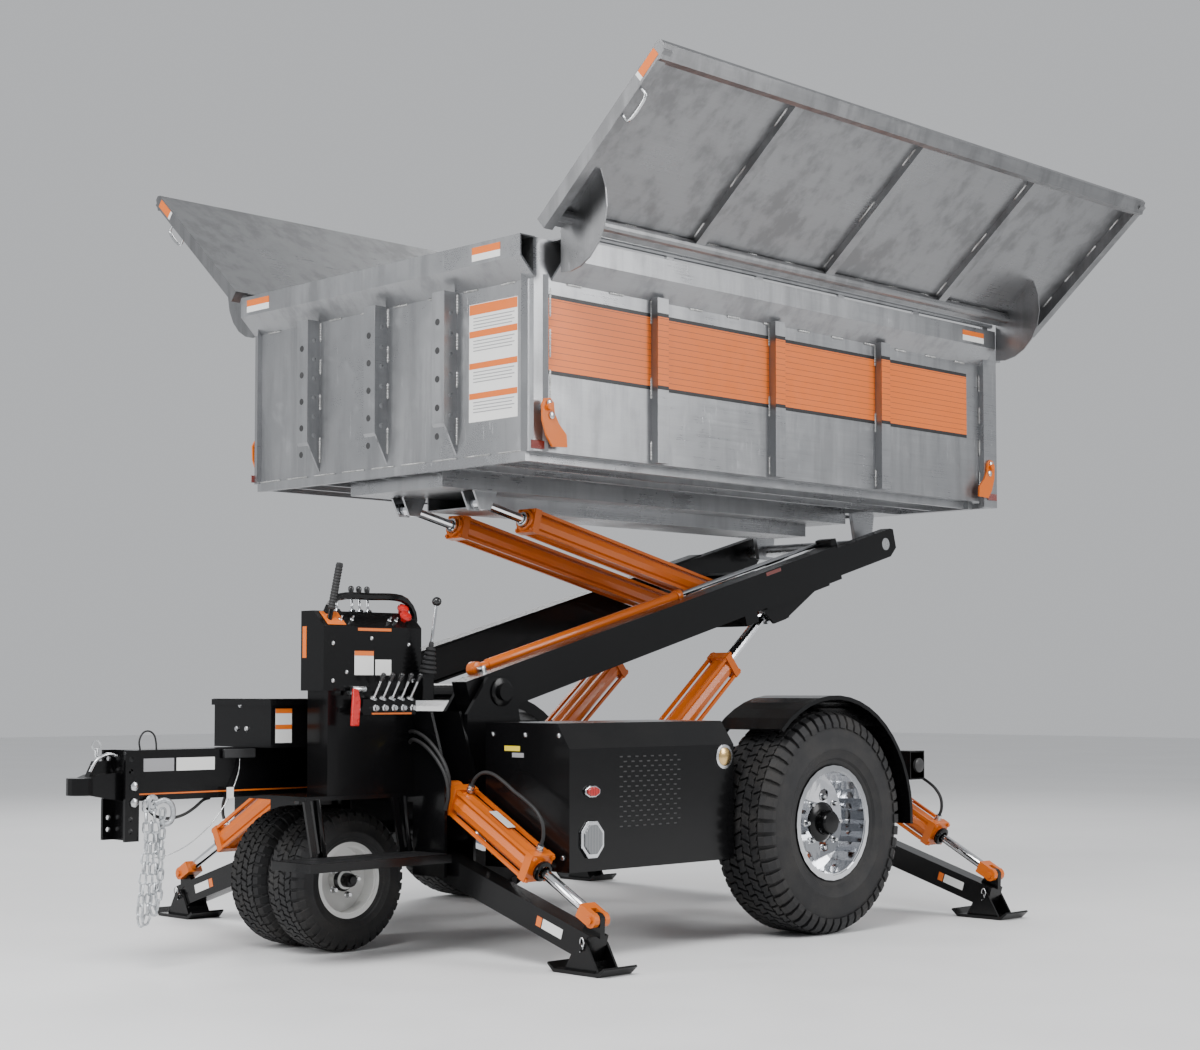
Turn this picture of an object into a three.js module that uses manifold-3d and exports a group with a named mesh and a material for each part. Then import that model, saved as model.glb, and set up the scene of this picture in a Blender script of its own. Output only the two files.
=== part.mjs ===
// Towable lifting dump trailer: chassis, outriggers, lift arms, cylinders, dump box with folding side wings.
// Millimetres, +X to the rear, +Y to the far side, +Z up. Every node is one closed solid.
import * as THREE from "three";
import { mergeVertices } from "three/addons/utils/BufferGeometryUtils.js";
import Module from "manifold-3d";

const wasm = await Module();
wasm.setup();

// ---- driving sizes ----
const GAP = 0.3; // left between two parts that touch
const RUN = 2; // radial clearance of a pin in its hole
const PIN = 16; // radius of a cylinder's or a leg's pin

// dump box
const BOX_FRONT = -1330;
const BOX_LENGTH = 2830;
const BOX_HALF_WIDTH = 834;
const BOX_WALL = 6;
const FLOOR_Z = 1777;
const WALL_HEIGHT = 610;
const RAIL_FLARE = 70;
const RAIL_HEIGHT = 78;
const RIB_DEPTH = 34;
const RIB_WIDTH = 60;
const SIDE_RIB_X = [-700, -20, 670];
const FRONT_RIB_Y = [-420, -20, 400];
const FRONT_RIB_WIDTH = 64;
const GATE_THICKNESS = 38;

// wings
const WING_WIDTH = 785;
const WING_OVERHANG_FRONT = 50;
const WING_OVERHANG_REAR = 195;
const WING_ANGLE = 41;
const WING_SHEET = 5;
const WING_RAIL = 42;
const FAN_RADIUS = 260;
const FAN_FRONT = 66;
const FAN_REAR = 62;
const HINGE_BAR = 11;
const LATCH_FRONT = 40;
const LATCH_REAR = 60;
const LATCH_OFF = 27;

// lift
const ARM_PIVOT = [-1150, 930];
const BOX_PIVOT = [1250, 1600];
const ARM_HALF_DEPTH = 75;
const ARM_WALL = 8;
const ARM_OUT = 440;
const ARM_IN = 360;
const ARM_REACH = 2120;
const INNER_START = 350;
const INNER_HALF_DEPTH = 62;
const TILT_LOW = [620, 1280];
const TILT_HIGH = [-1030, 1655];
const TILT_Y = 210;
const LIFT_LOW = [-400, 500];
const LIFT_HIGH = [520, 1272];
const LIFT_Y = 330;

// chassis
const RAIL_OUT = 250;
const RAIL_IN = 190;
const RAIL_BOTTOM = 430;
const RAIL_TOP = 570;
const FRAME_REAR = 1020;
const BEAM_FRONT = -2430;
const BEAM_HALF_WIDTH = 60;
const BEAM_TOP = 735;
const DECK_BOTTOM = 555;
const COVER_OUT = 990;
const COVER_IN = 560;
const COVER_FRONT = -1305;
const COVER_REAR = -450;
const COVER_BOTTOM = 310;
const COVER_SHOULDER = 735;
const COVER_TOP = 822;
const COVER_WALL = 6;

// wheels
const REAR_RADIUS = 427;
const REAR_WIDTH = 280;
const REAR_Y = 985;
const REAR_BEAD = 208;
const FRONT_RADIUS = 255;
const FRONT_WIDTH = 190;
const FRONT_Y = 113;
const FRONT_X = -1629;
const FRONT_BEAD = 130;

// outriggers
const LEG_X = [-1390, 930];
const LEG_PIVOT = [385, 333];
const FOOT_PIN = [1185, 88];
const LEG_HALF_WIDTH = 40;
const LEG_HALF_DEPTH = 45;
const RAM_TOP = [462, 578];
const ROD_ON_LEG = [835, 92];
const POCKET_HALF = 62;
const POCKET_PLATE = 12;
const PAD_HALF_LENGTH = 135;
const PAD_HALF_WIDTH = 78;

// towing end
const HITCH_FRONT = -2655;
const CONSOLE_FRONT = -1880;
const CONSOLE_REAR = -1440;
const CONSOLE_NEAR = -360;
const CONSOLE_DEPTH = 130;
const TOOLBOX_FRONT = -1964;
const TOOLBOX_LENGTH = 400;
const TOOLBOX_HALF_WIDTH = 172;
const PLATFORM_FRONT = -2080;

// ---- values that follow ----
const BOX_REAR = BOX_FRONT + BOX_LENGTH;
const WALL_TOP = FLOOR_Z + WALL_HEIGHT;
const RAIL_TOP_Z = WALL_TOP + RAIL_FLARE + RAIL_HEIGHT;
const WING_PIVOT = [BOX_HALF_WIDTH + 51, RAIL_TOP_Z + 25];
const GATE_TOP = WALL_TOP + 40;
const GATE_PIVOT = [BOX_REAR + 23, GATE_TOP + 18];
const LATCH_Z = WALL_TOP - 455;
const WING_FRONT = BOX_FRONT - WING_OVERHANG_FRONT;
const WING_REAR = BOX_REAR + WING_OVERHANG_REAR;
const ARM_ANGLE = Math.atan2(BOX_PIVOT[1] - ARM_PIVOT[1], BOX_PIVOT[0] - ARM_PIVOT[0]);
const ARM_LENGTH = Math.hypot(BOX_PIVOT[1] - ARM_PIVOT[1], BOX_PIVOT[0] - ARM_PIVOT[0]);
const LEG_ANGLE = Math.atan2(FOOT_PIN[1] - LEG_PIVOT[1], FOOT_PIN[0] - LEG_PIVOT[0]);
const LEG_LENGTH = Math.hypot(FOOT_PIN[1] - LEG_PIVOT[1], FOOT_PIN[0] - LEG_PIVOT[0]);
const FRAME_FACE = LEG_X[0] - POCKET_HALF - POCKET_PLATE;
const SHIFT_X = -(HITCH_FRONT + WING_REAR) / 2;

// ---- materials ----
const paint = (name, color, metalness, roughness) => {
  const made = new THREE.MeshStandardMaterial({ color, metalness, roughness });
  made.name = name;
  return made;
};
const BLACK = paint("gloss_black", 0x0b0b0c, 0.2, 0.3);
const ORANGE = paint("orange_paint", 0xd9600f, 0.1, 0.4);
const ALUMINIUM = paint("mill_aluminium", 0xb4b6b8, 0.9, 0.35);
const CHROME = paint("chrome", 0xdfe2e5, 1.0, 0.08);
const RUBBER = paint("tyre_rubber", 0x1b1b1c, 0.0, 0.85);
const WHITE = paint("white_rim", 0xd9dadb, 0.1, 0.4);
const ZINC = paint("zinc_plate", 0xb9bec4, 0.9, 0.35);

// ---- solids ----
// A three.js geometry as a manifold solid.
function solid(geometry) {
  const bare = new THREE.BufferGeometry();
  const flat = geometry.index ? geometry.toNonIndexed() : geometry;
  bare.setAttribute("position", flat.getAttribute("position"));
  const merged = mergeVertices(bare, 1e-3);
  const mesh = new wasm.Mesh({
    numProp: 3,
    vertProperties: merged.attributes.position.array,
    triVerts: new Uint32Array(merged.index.array),
  });
  mesh.merge();
  return new wasm.Manifold(mesh);
}

// The solid back as a three.js geometry.
function geometryOf(body) {
  const mesh = body.getMesh();
  const made = new THREE.BufferGeometry();
  made.setAttribute("position", new THREE.BufferAttribute(Float32Array.from(mesh.vertProperties), 3));
  made.setIndex(Array.from(mesh.triVerts));
  const flat = made.toNonIndexed();
  flat.computeVertexNormals();
  return flat;
}

function join(...parts) {
  return parts.reduce((sum, part) => sum.add(part));
}

function cut(body, ...tools) {
  return tools.reduce((left, tool) => left.subtract(tool), body);
}

function box(x0, x1, y0, y1, z0, z1) {
  const made = new THREE.BoxGeometry(x1 - x0, y1 - y0, z1 - z0);
  made.translate((x0 + x1) / 2, (y0 + y1) / 2, (z0 + z1) / 2);
  return solid(made);
}

// An outline of [u, v] points drawn along one axis from low to high.
// Axis "y" draws u along X and v along Z; "x" draws u along Y and v along Z; "z" draws u along X, v along Y.
function prism(axis, low, high, points, holes = []) {
  const shape = new THREE.Shape(points.map(([u, v]) => new THREE.Vector2(u, v)));
  for (const [u, v, r] of holes) {
    const path = new THREE.Path();
    const sides = r < 15 ? 8 : 16;
    for (let i = 0; i < sides; i += 1) {
      const a = (-i / sides) * Math.PI * 2;
      const put = i === 0 ? "moveTo" : "lineTo";
      path[put](u + Math.cos(a) * r, v + Math.sin(a) * r);
    }
    path.closePath();
    shape.holes.push(path);
  }
  const made = new THREE.ExtrudeGeometry(shape, { depth: high - low, bevelEnabled: false, curveSegments: 8 });
  made.translate(0, 0, low);
  const turn = new THREE.Matrix4();
  if (axis === "y") {
    turn.makeBasis(new THREE.Vector3(1, 0, 0), new THREE.Vector3(0, 0, 1), new THREE.Vector3(0, -1, 0));
    made.translate(0, 0, -(low + high));
  }
  if (axis === "x") {
    turn.makeBasis(new THREE.Vector3(0, 1, 0), new THREE.Vector3(0, 0, 1), new THREE.Vector3(1, 0, 0));
  }
  made.applyMatrix4(turn);
  return solid(made);
}

// A round bar along one axis, from low to high, about (u, v) on the other two.
function bar(axis, low, high, u, v, radius, sides = 16) {
  const made = new THREE.CylinderGeometry(radius, radius, high - low, sides);
  if (axis === "x") {
    made.rotateZ(-Math.PI / 2);
    made.translate((low + high) / 2, u, v);
  }
  if (axis === "y") {
    made.translate(u, (low + high) / 2, v);
  }
  if (axis === "z") {
    made.rotateX(Math.PI / 2);
    made.translate(u, v, (low + high) / 2);
  }
  return solid(made);
}

// A closed ring of [radius, along] points turned about the Y axis, then moved to (x, y, z).
function ring(points, x, y, z, sides) {
  const outline = [...points, points[0]].map(([r, a]) => new THREE.Vector2(r, a));
  const made = new THREE.LatheGeometry(outline, sides);
  made.translate(x, y, z);
  return solid(made);
}

// A solid drawn flat along +X from the origin, laid along a slope in the XZ plane.
function sloped(body, from, angle) {
  return body.rotate([0, (-angle * 180) / Math.PI, 0]).translate([from[0], 0, from[1]]);
}

// A bar of round section swept along points.
function sweep(points, radius, sides = 6) {
  const curve = new THREE.CatmullRomCurve3(points.map((p) => new THREE.Vector3(...p)), false, "centripetal");
  const rim = [];
  for (let i = 0; i < sides; i += 1) {
    const a = (i / sides) * Math.PI * 2;
    rim.push(new THREE.Vector2(Math.cos(a) * radius, Math.sin(a) * radius));
  }
  const steps = (points.length - 1) * 3;
  return solid(new THREE.ExtrudeGeometry(new THREE.Shape(rim), { steps, extrudePath: curve }));
}

const far = (body) => body.mirror([0, 1, 0]);
const part = new THREE.Group();
part.name = "lifting_dump_trailer";

function add(name, body, material) {
  const mesh = new THREE.Mesh(geometryOf(body.translate([SHIFT_X, 0, 0])), material);
  mesh.name = name;
  part.add(mesh);
}

function addPair(name, body, material) {
  add(`${name}_near`, body, material);
  add(`${name}_far`, far(body), material);
}

// ---- chassis ----
function both(body) {
  return join(body, far(body));
}

function crossPlate(x0, x1, top) {
  const half = 520;
  const clear = 345;
  const points = [
    [-half, 275],
    [-clear, 275],
    [-clear, 535],
    [clear, 535],
    [clear, 275],
    [half, 275],
    [half, 640],
    [440, top],
    [-440, top],
    [-half, 640],
  ];
  return prism("x", x0, x1, points);
}

function mainFrame() {
  const legPlates = LEG_X.flatMap((x, i) => {
    const top = i === 0 ? 860 : 660;
    return [
      crossPlate(x - POCKET_HALF - POCKET_PLATE, x - POCKET_HALF, top),
      crossPlate(x + POCKET_HALF, x + POCKET_HALF + POCKET_PLATE, top),
    ];
  });
  const legPins = LEG_X.flatMap((x) => [LEG_PIVOT, RAM_TOP].map(([y, z]) => {
    return bar("x", x - POCKET_HALF - 8, x + POCKET_HALF + 8, y, z, PIN, 12);
  }));
  const rails = both(box(-1325, FRAME_REAR, RAIL_IN, RAIL_OUT, RAIL_BOTTOM, RAIL_TOP));
  const drawbar = box(BEAM_FRONT, -1318, -BEAM_HALF_WIDTH, BEAM_HALF_WIDTH, RAIL_TOP - 6, BEAM_TOP);
  const deck = box(-1950, -1310, -360, 360, DECK_BOTTOM, RAIL_TOP);
  const towerOutline = [
    [-1316, 432],
    [-1020, 432],
    [-1020, 620],
    [-1085, 985],
    [-1215, 985],
    [-1316, 850],
  ];
  const pivotHole = [ARM_PIVOT[0], ARM_PIVOT[1], 32 + RUN];
  const outerTower = prism("y", 456, 472, towerOutline, [pivotHole]);
  const innerTower = prism("y", 328, 344, towerOutline, [pivotHole]);
  const towerFloor = box(-1316, -1020, RAIL_IN + 10, 472, 432, 444);
  const lugOutline = [
    [-470, 432],
    [-330, 432],
    [-350, 540],
    [-450, 540],
  ];
  const lugs = join(prism("y", 388, 402, lugOutline), box(-470, -330, RAIL_IN + 10, 402, 432, 444));
  const bearers = join(
    box(-1280, -1220, RAIL_OUT - 3, COVER_OUT - COVER_WALL - 8, 452, 500),
    box(-545, -490, RAIL_OUT - 3, COVER_OUT - COVER_WALL - 8, 452, 500),
    box(440, 480, RAIL_OUT - 3, 794, 500, 545),
  );
  const crossbar = box(750, 850, -920, 920, RAIL_TOP - 8, 682);
  const liftPin = bar("y", RAIL_OUT - 2, 398, LIFT_LOW[0], LIFT_LOW[1], PIN, 12);
  const sides = both(join(outerTower, innerTower, towerFloor, lugs, liftPin, bearers, ...legPins));
  const wall = 6;
  const railHollow = box(-1340, FRAME_REAR + 1, RAIL_IN + wall, RAIL_OUT - wall, RAIL_BOTTOM + wall, RAIL_TOP - wall);
  const beamHalf = BEAM_HALF_WIDTH - wall;
  const beamHollow = box(BEAM_FRONT - 1, -1300, -beamHalf, beamHalf, RAIL_TOP, BEAM_TOP - wall);
  const crossHollow = box(750 + wall, 850 - wall, -921, 921, RAIL_TOP - 2, 682 - wall);
  const whole = join(drawbar, deck, rails, sides, crossbar, ...legPlates);
  return cut(whole, both(railHollow), beamHollow, crossHollow);
}
add("main_frame", mainFrame(), BLACK);

function hitchCoupler() {
  const plate = box(BEAM_FRONT - 14, BEAM_FRONT - GAP, -76, 76, 430, BEAM_TOP);
  const flangeHoles = [465, 505, 665, 705].map((z) => [BEAM_FRONT - 33, z, 9]);
  const flangeOutline = [
    [BEAM_FRONT - 54, 430],
    [BEAM_FRONT - 2, 430],
    [BEAM_FRONT - 2, BEAM_TOP],
    [BEAM_FRONT - 54, BEAM_TOP],
  ];
  const flange = prism("y", 64, 76, flangeOutline, flangeHoles);
  const outline = [
    [BEAM_FRONT - 8, 560],
    [BEAM_FRONT - 8, 665],
    [-2570, 655],
    [-2610, 640],
    [-2610, 590],
    [-2560, 580],
  ];
  const neck = prism("y", -44, 44, outline);
  const nose = bar("z", 588, 645, HITCH_FRONT + 48, 0, 48);
  const clamp = prism("y", -14, 14, [[-2590, 640], [-2480, 640], [-2510, 700], [-2560, 700]]);
  return join(plate, both(flange), neck, nose, clamp);
}
add("hitch_coupler", hitchCoupler(), BLACK);

function safetyChain() {
  const top = 545;
  const near = sweep([[-2410, -100, top], [-2405, -105, 330], [-2415, -98, 190], [-2428, -85, 165],
    [-2440, -95, 200], [-2437, -102, 330], [-2428, -98, top]], 13);
  const hook = sweep([[-2420, -100, 530], [-2385, -98, 548], [-2345, -96, 556], [-2318, -96, 530],
    [-2325, -96, 490], [-2350, -96, 480]], 12);
  const lug = box(-2425, -2390, -112, -BEAM_HALF_WIDTH - GAP, 540, 572);
  return join(near, hook, lug);
}
add("safety_chain", safetyChain(), ZINC);

function toolbox() {
  const front = TOOLBOX_FRONT;
  const rear = TOOLBOX_FRONT + TOOLBOX_LENGTH;
  const w = TOOLBOX_HALF_WIDTH;
  const body = box(front, rear, -w, w, BEAM_TOP + GAP, 890);
  const lid = box(front - 8, rear + 8, -w - 8, w + 8, 884, 905);
  const hollow = join(
    box(front + 6, rear - 6, -w + 6, -BEAM_HALF_WIDTH - 4, BEAM_TOP - 1, 899),
    box(front + 6, rear - 6, BEAM_HALF_WIDTH + 4, w - 6, BEAM_TOP - 1, 899),
    box(front + 6, rear - 6, -BEAM_HALF_WIDTH - 10, BEAM_HALF_WIDTH + 10, BEAM_TOP + 8, 899),
  );
  return cut(join(body, lid), hollow);
}
add("toolbox", toolbox(), BLACK);

function controlConsole() {
  const near = CONSOLE_NEAR;
  const back = CONSOLE_NEAR + CONSOLE_DEPTH;
  const base = box(CONSOLE_FRONT + 30, FRAME_FACE - GAP, near + 14, back, RAIL_TOP + GAP, 950);
  const hollow = box(CONSOLE_FRONT + 36, FRAME_FACE - 6, near + 20, back - 6, RAIL_TOP - 1, 1140);
  const outline = [
    [near, 935],
    [back, 935],
    [back, 1215],
    [near + 60, 1215],
    [near, 1160],
  ];
  const head = prism("x", CONSOLE_FRONT, CONSOLE_REAR, outline);
  const valve = box(CONSOLE_REAR - 300, CONSOLE_REAR - 60, near - 42, near + 16, 850, 905);
  const x0 = CONSOLE_FRONT + 45;
  const x1 = CONSOLE_REAR + 12;
  const hoop = sweep([[x0, -300, 1150], [x0 + 4, -305, 1205], [x0 + 40, -312, 1258], [x0 + 200, -315, 1270],
    [x1 - 50, -312, 1262], [x1 - 4, -305, 1215], [x1, -302, 1180], [x1 - 34, -300, 1150]], 13);
  return join(cut(join(base, head), hollow), valve, hoop);
}
add("control_console", controlConsole(), BLACK);

function sideCover() {
  const shell = (inset, deep) => [
    [COVER_IN - deep, COVER_BOTTOM - deep],
    [COVER_OUT - inset, COVER_BOTTOM - deep],
    [COVER_OUT - inset, COVER_SHOULDER - inset * 0.6],
    [COVER_OUT - 62 - inset * 0.6, COVER_TOP - inset],
    [COVER_IN - deep, COVER_TOP - inset],
  ];
  const outer = prism("x", COVER_FRONT, COVER_REAR, shell(0, 0));
  const inner = prism("x", COVER_FRONT + COVER_WALL, COVER_REAR - COVER_WALL, shell(COVER_WALL, 5));
  const slots = [-1282, -547].map((x) => box(x, x + 64, 500, 570, 440, 508));
  return cut(outer, inner, ...slots);
}
const cover = sideCover();
add("side_cover_near", far(cover), BLACK);
add("side_cover_far", cover, BLACK);

function arcBand(inner, outer, from, to, steps) {
  const points = [];
  for (let i = 0; i <= steps; i += 1) {
    const a = THREE.MathUtils.degToRad(from + ((to - from) * i) / steps);
    points.push([Math.cos(a) * outer, REAR_RADIUS + Math.sin(a) * outer]);
  }
  for (let i = steps; i >= 0; i -= 1) {
    const a = THREE.MathUtils.degToRad(from + ((to - from) * i) / steps);
    points.push([Math.cos(a) * inner, REAR_RADIUS + Math.sin(a) * inner]);
  }
  return points;
}

function fender() {
  const top = prism("y", 796, 1122, arcBand(484, 490, -3, 132, 18));
  const inner = prism("y", 796, 802, arcBand(440, 488, -3, 132, 18));
  const lip = prism("y", 1116, 1122, arcBand(474, 488, -3, 132, 18));
  return join(top, inner, lip);
}
const fenderBody = fender();
add("fender_near", far(fenderBody), BLACK);
add("fender_far", fenderBody, BLACK);

function rearAxle() {
  const beam = box(-58, 58, -640, 640, 300, RAIL_BOTTOM - GAP);
  const motor = bar("y", 600, 800, 0, REAR_RADIUS, 92);
  const spindle = bar("y", 790, 855, 0, REAR_RADIUS, 48, 12);
  return join(beam, both(join(motor, spindle)));
}
add("rear_axle", rearAxle(), BLACK);

function platform() {
  const x0 = PLATFORM_FRONT;
  const x1 = FRAME_FACE - GAP;
  const plate = box(x0, x1, -560, -345, 352, 360);
  const edge = box(x0, x1, -560, -552, 330, 360);
  const ends = join(box(x0, x0 + 8, -560, -345, 330, 360), box(x1 - 8, x1, -560, -345, 330, 360));
  const strutAt = (x, y) => prism("y", y, y + 12, [
    [x, DECK_BOTTOM - GAP],
    [x - 24, DECK_BOTTOM - GAP],
    [x + 14, 354],
    [x + 38, 354],
  ]);
  const struts = [-1900, -1512].flatMap((x) => [strutAt(x, -359), strutAt(x - 34, -359)]);
  const feet = [-1890, -1502].map((x) => box(x - 30, x + 28, -360, -345, 352, 372));
  return join(plate, edge, ends, ...struts, ...feet);
}
add("platform", platform(), BLACK);

// ---- steering and wheels ----
function steeringFork() {
  const disc = bar("z", 522, DECK_BOTTOM - GAP, FRONT_X, 0, 85);
  const leg = prism("y", -12, 12, [
    [FRONT_X - 45, 526],
    [FRONT_X - 26, FRONT_RADIUS - 22],
    [FRONT_X + 26, FRONT_RADIUS - 22],
    [FRONT_X + 45, 526],
  ]);
  const axle = bar("y", -212, 212, FRONT_X, FRONT_RADIUS, 14, 12);
  return join(disc, leg, axle);
}
add("steering_fork", steeringFork(), BLACK);

function tyreProfile(radius, width, bead, beadHalf) {
  const half = width / 2;
  const right = [
    [bead, beadHalf],
    [bead + 0.14 * (radius - bead), beadHalf + 2],
    [bead + 0.42 * (radius - bead), half],
    [bead + 0.78 * (radius - bead), half * 0.96],
    [radius * 0.975, half * 0.84],
    [radius, half * 0.66],
  ];
  const left = right.map(([r, a]) => [r, -a]).reverse();
  return [...right, ...left].reverse();
}

function tyre(radius, width, bead, beadHalf, x, y, sides) {
  return ring(tyreProfile(radius, width, bead, beadHalf), x, y, radius, sides);
}

function frontRim(side) {
  const bead = FRONT_BEAD;
  const profile = [
    [14 + RUN, -78],
    [36, -78],
    [36, -12],
    [bead - 12, 6],
    [bead - 12, -70],
    [bead - 2, -70],
    [bead - 2, 70],
    [bead - 12, 70],
    [bead - 12, 14],
    [40, 4],
    [34, 58],
    [14 + RUN, 58],
  ];
  const flangeOut = [[bead - 6, 69], [143, 71], [143, 76], [bead - 6, 76]];
  const flangeIn = flangeOut.map(([r, a]) => [r, -a]).reverse();
  const at = (points) => ring(points, FRONT_X, 0, FRONT_RADIUS, 24);
  const made = join(at(profile), at(flangeOut), at(flangeIn)).translate([0, FRONT_Y, 0]);
  return side < 0 ? far(made) : made;
}

function rearRim() {
  const bead = REAR_BEAD;
  const profile = [
    [0.01, -125],
    [60, -125],
    [78, -30],
    [bead - 12, -6],
    [bead - 12, -118],
    [bead - 1, -118],
    [bead - 1, 118],
    [bead - 12, 118],
    [bead - 12, 6],
    [84, -20],
    [72, 50],
    [52, 62],
    [0.01, 62],
  ];
  const outline = profile.map(([r, a]) => new THREE.Vector2(r < 1 ? 0 : r, a));
  const core = new THREE.LatheGeometry(outline, 28);
  const flangeOut = [[bead - 6, 115], [221, 116], [221, 121], [bead - 6, 121]];
  const flangeIn = flangeOut.map(([r, a]) => [r, -a]).reverse();
  const flanges = [flangeOut, flangeIn].map((points) => ring(points, 0, 0, 0, 28));
  const holes = [];
  for (let i = 0; i < 8; i += 1) {
    const a = (i / 8) * Math.PI * 2;
    holes.push(bar("y", -60, 30, Math.cos(a) * 140, Math.sin(a) * 140, 25, 8));
  }
  return cut(join(solid(core), ...flanges), ...holes).translate([0, REAR_Y, REAR_RADIUS]);
}

for (const [side, name] of [[-1, "near"], [1, "far"]]) {
  add(`front_tyre_${name}`, tyre(FRONT_RADIUS, FRONT_WIDTH, FRONT_BEAD, 66, FRONT_X, side * FRONT_Y, 28), RUBBER);
  add(`front_rim_${name}`, frontRim(side), WHITE);
  add(`rear_tyre_${name}`, tyre(REAR_RADIUS, REAR_WIDTH, REAR_BEAD, 111, 0, side * REAR_Y, 36), RUBBER);
  const rim = rearRim();
  add(`rear_rim_${name}`, side < 0 ? far(rim) : rim, CHROME);
}

// ---- lift arms ----
// Arm parts are drawn with X along the arm from the front pivot and Z square to it.
function onArm(body) {
  return sloped(body, ARM_PIVOT, ARM_ANGLE);
}

function armPoint([x, z]) {
  const dx = x - ARM_PIVOT[0];
  const dz = z - ARM_PIVOT[1];
  const c = Math.cos(ARM_ANGLE);
  const s = Math.sin(ARM_ANGLE);
  return [dx * c + dz * s, dz * c - dx * s];
}

function liftArms() {
  const h = ARM_HALF_DEPTH;
  const web = box(-130, ARM_REACH, ARM_OUT - ARM_WALL, ARM_OUT, -h, h);
  const flanges = join(
    box(-130, ARM_REACH, ARM_IN, ARM_OUT, h - ARM_WALL, h),
    box(-130, ARM_REACH, ARM_IN, ARM_OUT, -h, -h + ARM_WALL),
  );
  const end = box(-130, -118, ARM_IN, ARM_OUT, -h, h);
  const wide = box(1440, 1520, -ARM_OUT, ARM_OUT, -h - 44, -h + 2);
  const tie = cut(wide, box(1439, 1521, -ARM_IN + 4, ARM_IN - 4, -h - 12, -h + 3));
  const [cs, cw] = armPoint(LIFT_HIGH);
  const gusset = [
    [cs - 110, -h + 3],
    [cs - 40, cw - 42],
    [cs + 40, cw - 42],
    [cs + 330, -h + 3],
  ];
  const outerEar = prism("y", ARM_OUT - 50, ARM_OUT - 38, gusset);
  const foot = box(cs - 110, cs + 330, ARM_OUT - 50, ARM_OUT - 2, -h - 8, -h + 3);
  const shaft = bar("y", -ARM_OUT - 60, ARM_OUT + 60, 0, 0, 32);
  return onArm(join(shaft, both(join(web, flanges, end, outerEar, foot)), tie));
}
add("lift_arms", liftArms(), BLACK);

function innerArms() {
  const h = INNER_HALF_DEPTH;
  const outline = [
    [INNER_START, -h],
    [ARM_LENGTH + 20, -h],
    [ARM_LENGTH + 70, -h + 30],
    [ARM_LENGTH + 70, h - 8],
    [ARM_LENGTH + 50, h],
    [INNER_START, h],
  ];
  const stick = prism("y", 374, 429, outline, [[ARM_LENGTH, 0, 28 + RUN]]);
  const [ts, tw] = armPoint(TILT_LOW);
  const lug = prism("y", 318, 332, [
    [ts - 42, 40],
    [ts - 42, tw - 40],
    [ts + 45, tw - 40],
    [ts + 190, 40],
  ], [[ts, tw, 26 + GAP]]);
  const pad = box(ts - 30, ts + 190, 320, 380, -30, 38);
  const tie = box(ts + 150, ts + 205, -376, 376, -45, 5);
  const hollow = box(INNER_START - 1, ARM_LENGTH - 190, 380, 423, -h + 6, h - 6);
  return onArm(join(both(cut(join(stick, lug, pad), hollow)), tie));
}
add("inner_arms", innerArms(), BLACK);
add("pivot_shaft", bar("y", -428, 428, BOX_PIVOT[0], BOX_PIVOT[1], 28), ZINC);

// ---- cylinders ----
// Drawn along +X from the base pin at the origin, moving in the XZ plane.
function ramBarrel(gland, tube, bore, block, eye, eyeHalf, pin) {
  const start = eye + 18;
  const square = (x0, x1) => box(x0, x1, -block, block, -block, block);
  const sleeve = bar("x", start, gland, 0, 0, tube, 12);
  const collar = bar("x", gland - 20, gland + 12, 0, 0, bore + 12, 12);
  const eyeBar = join(
    bar("y", -eyeHalf, eyeHalf, 0, 0, eye, 12),
    box(0, start, -eyeHalf, eyeHalf, -eye * 0.8, eye * 0.8),
  );
  const at = block - 9;
  const tie = (a, b) => box(start - 10, gland + 8, a * at - 6, a * at + 6, b * at - 6, b * at + 6);
  const ties = [tie(-1, -1), tie(-1, 1), tie(1, -1), tie(1, 1)];
  const whole = join(sleeve, square(gland - 34, gland), square(start - 4, start + 32), collar, eyeBar, ...ties);
  const pinHole = bar("y", -eyeHalf - 1, eyeHalf + 1, 0, 0, pin + RUN, 12);
  return cut(whole, bar("x", start + 40, gland + 13, 0, 0, bore, 12), pinHole);
}

function ramRod(from, to, radius, eye, eyeHalf) {
  const rod = bar("x", from, to - eye * 0.6, 0, 0, radius, 12);
  const end = bar("y", -eyeHalf, eyeHalf, to, 0, eye, 12);
  const neck = box(to - eye - 14, to, -eyeHalf, eyeHalf, -eye * 0.8, eye * 0.8);
  return join(rod, end, neck);
}

function between(body, low, high, y) {
  const angle = Math.atan2(high[1] - low[1], high[0] - low[0]);
  return sloped(body, low, angle).translate([0, y, 0]);
}

const LIFT_SPAN = Math.hypot(LIFT_HIGH[0] - LIFT_LOW[0], LIFT_HIGH[1] - LIFT_LOW[1]);
const LIFT_GLAND = 860;
const LIFT_ROD_START = 225;
const liftBarrel = between(ramBarrel(LIFT_GLAND, 48, 27, 54, 36, 44, PIN), LIFT_LOW, LIFT_HIGH, LIFT_Y);
const liftRod = between(ramRod(LIFT_ROD_START, LIFT_SPAN, 22, 34, 28), LIFT_LOW, LIFT_HIGH, LIFT_Y);
add("lift_barrel_near", far(liftBarrel), ORANGE);
add("lift_barrel_far", liftBarrel, ORANGE);
add("lift_rod_near", far(liftRod), CHROME);
add("lift_rod_far", liftRod, CHROME);

const TILT_SPAN = Math.hypot(TILT_HIGH[0] - TILT_LOW[0], TILT_HIGH[1] - TILT_LOW[1]);
const TILT_GLAND = 1440;
const STAGE_START = 150;
const [shaftAlong, shaftAcross] = armPoint(TILT_LOW);
add("tilt_shaft", onArm(bar("y", -334, 334, shaftAlong, shaftAcross, 26)), ZINC);

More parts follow.
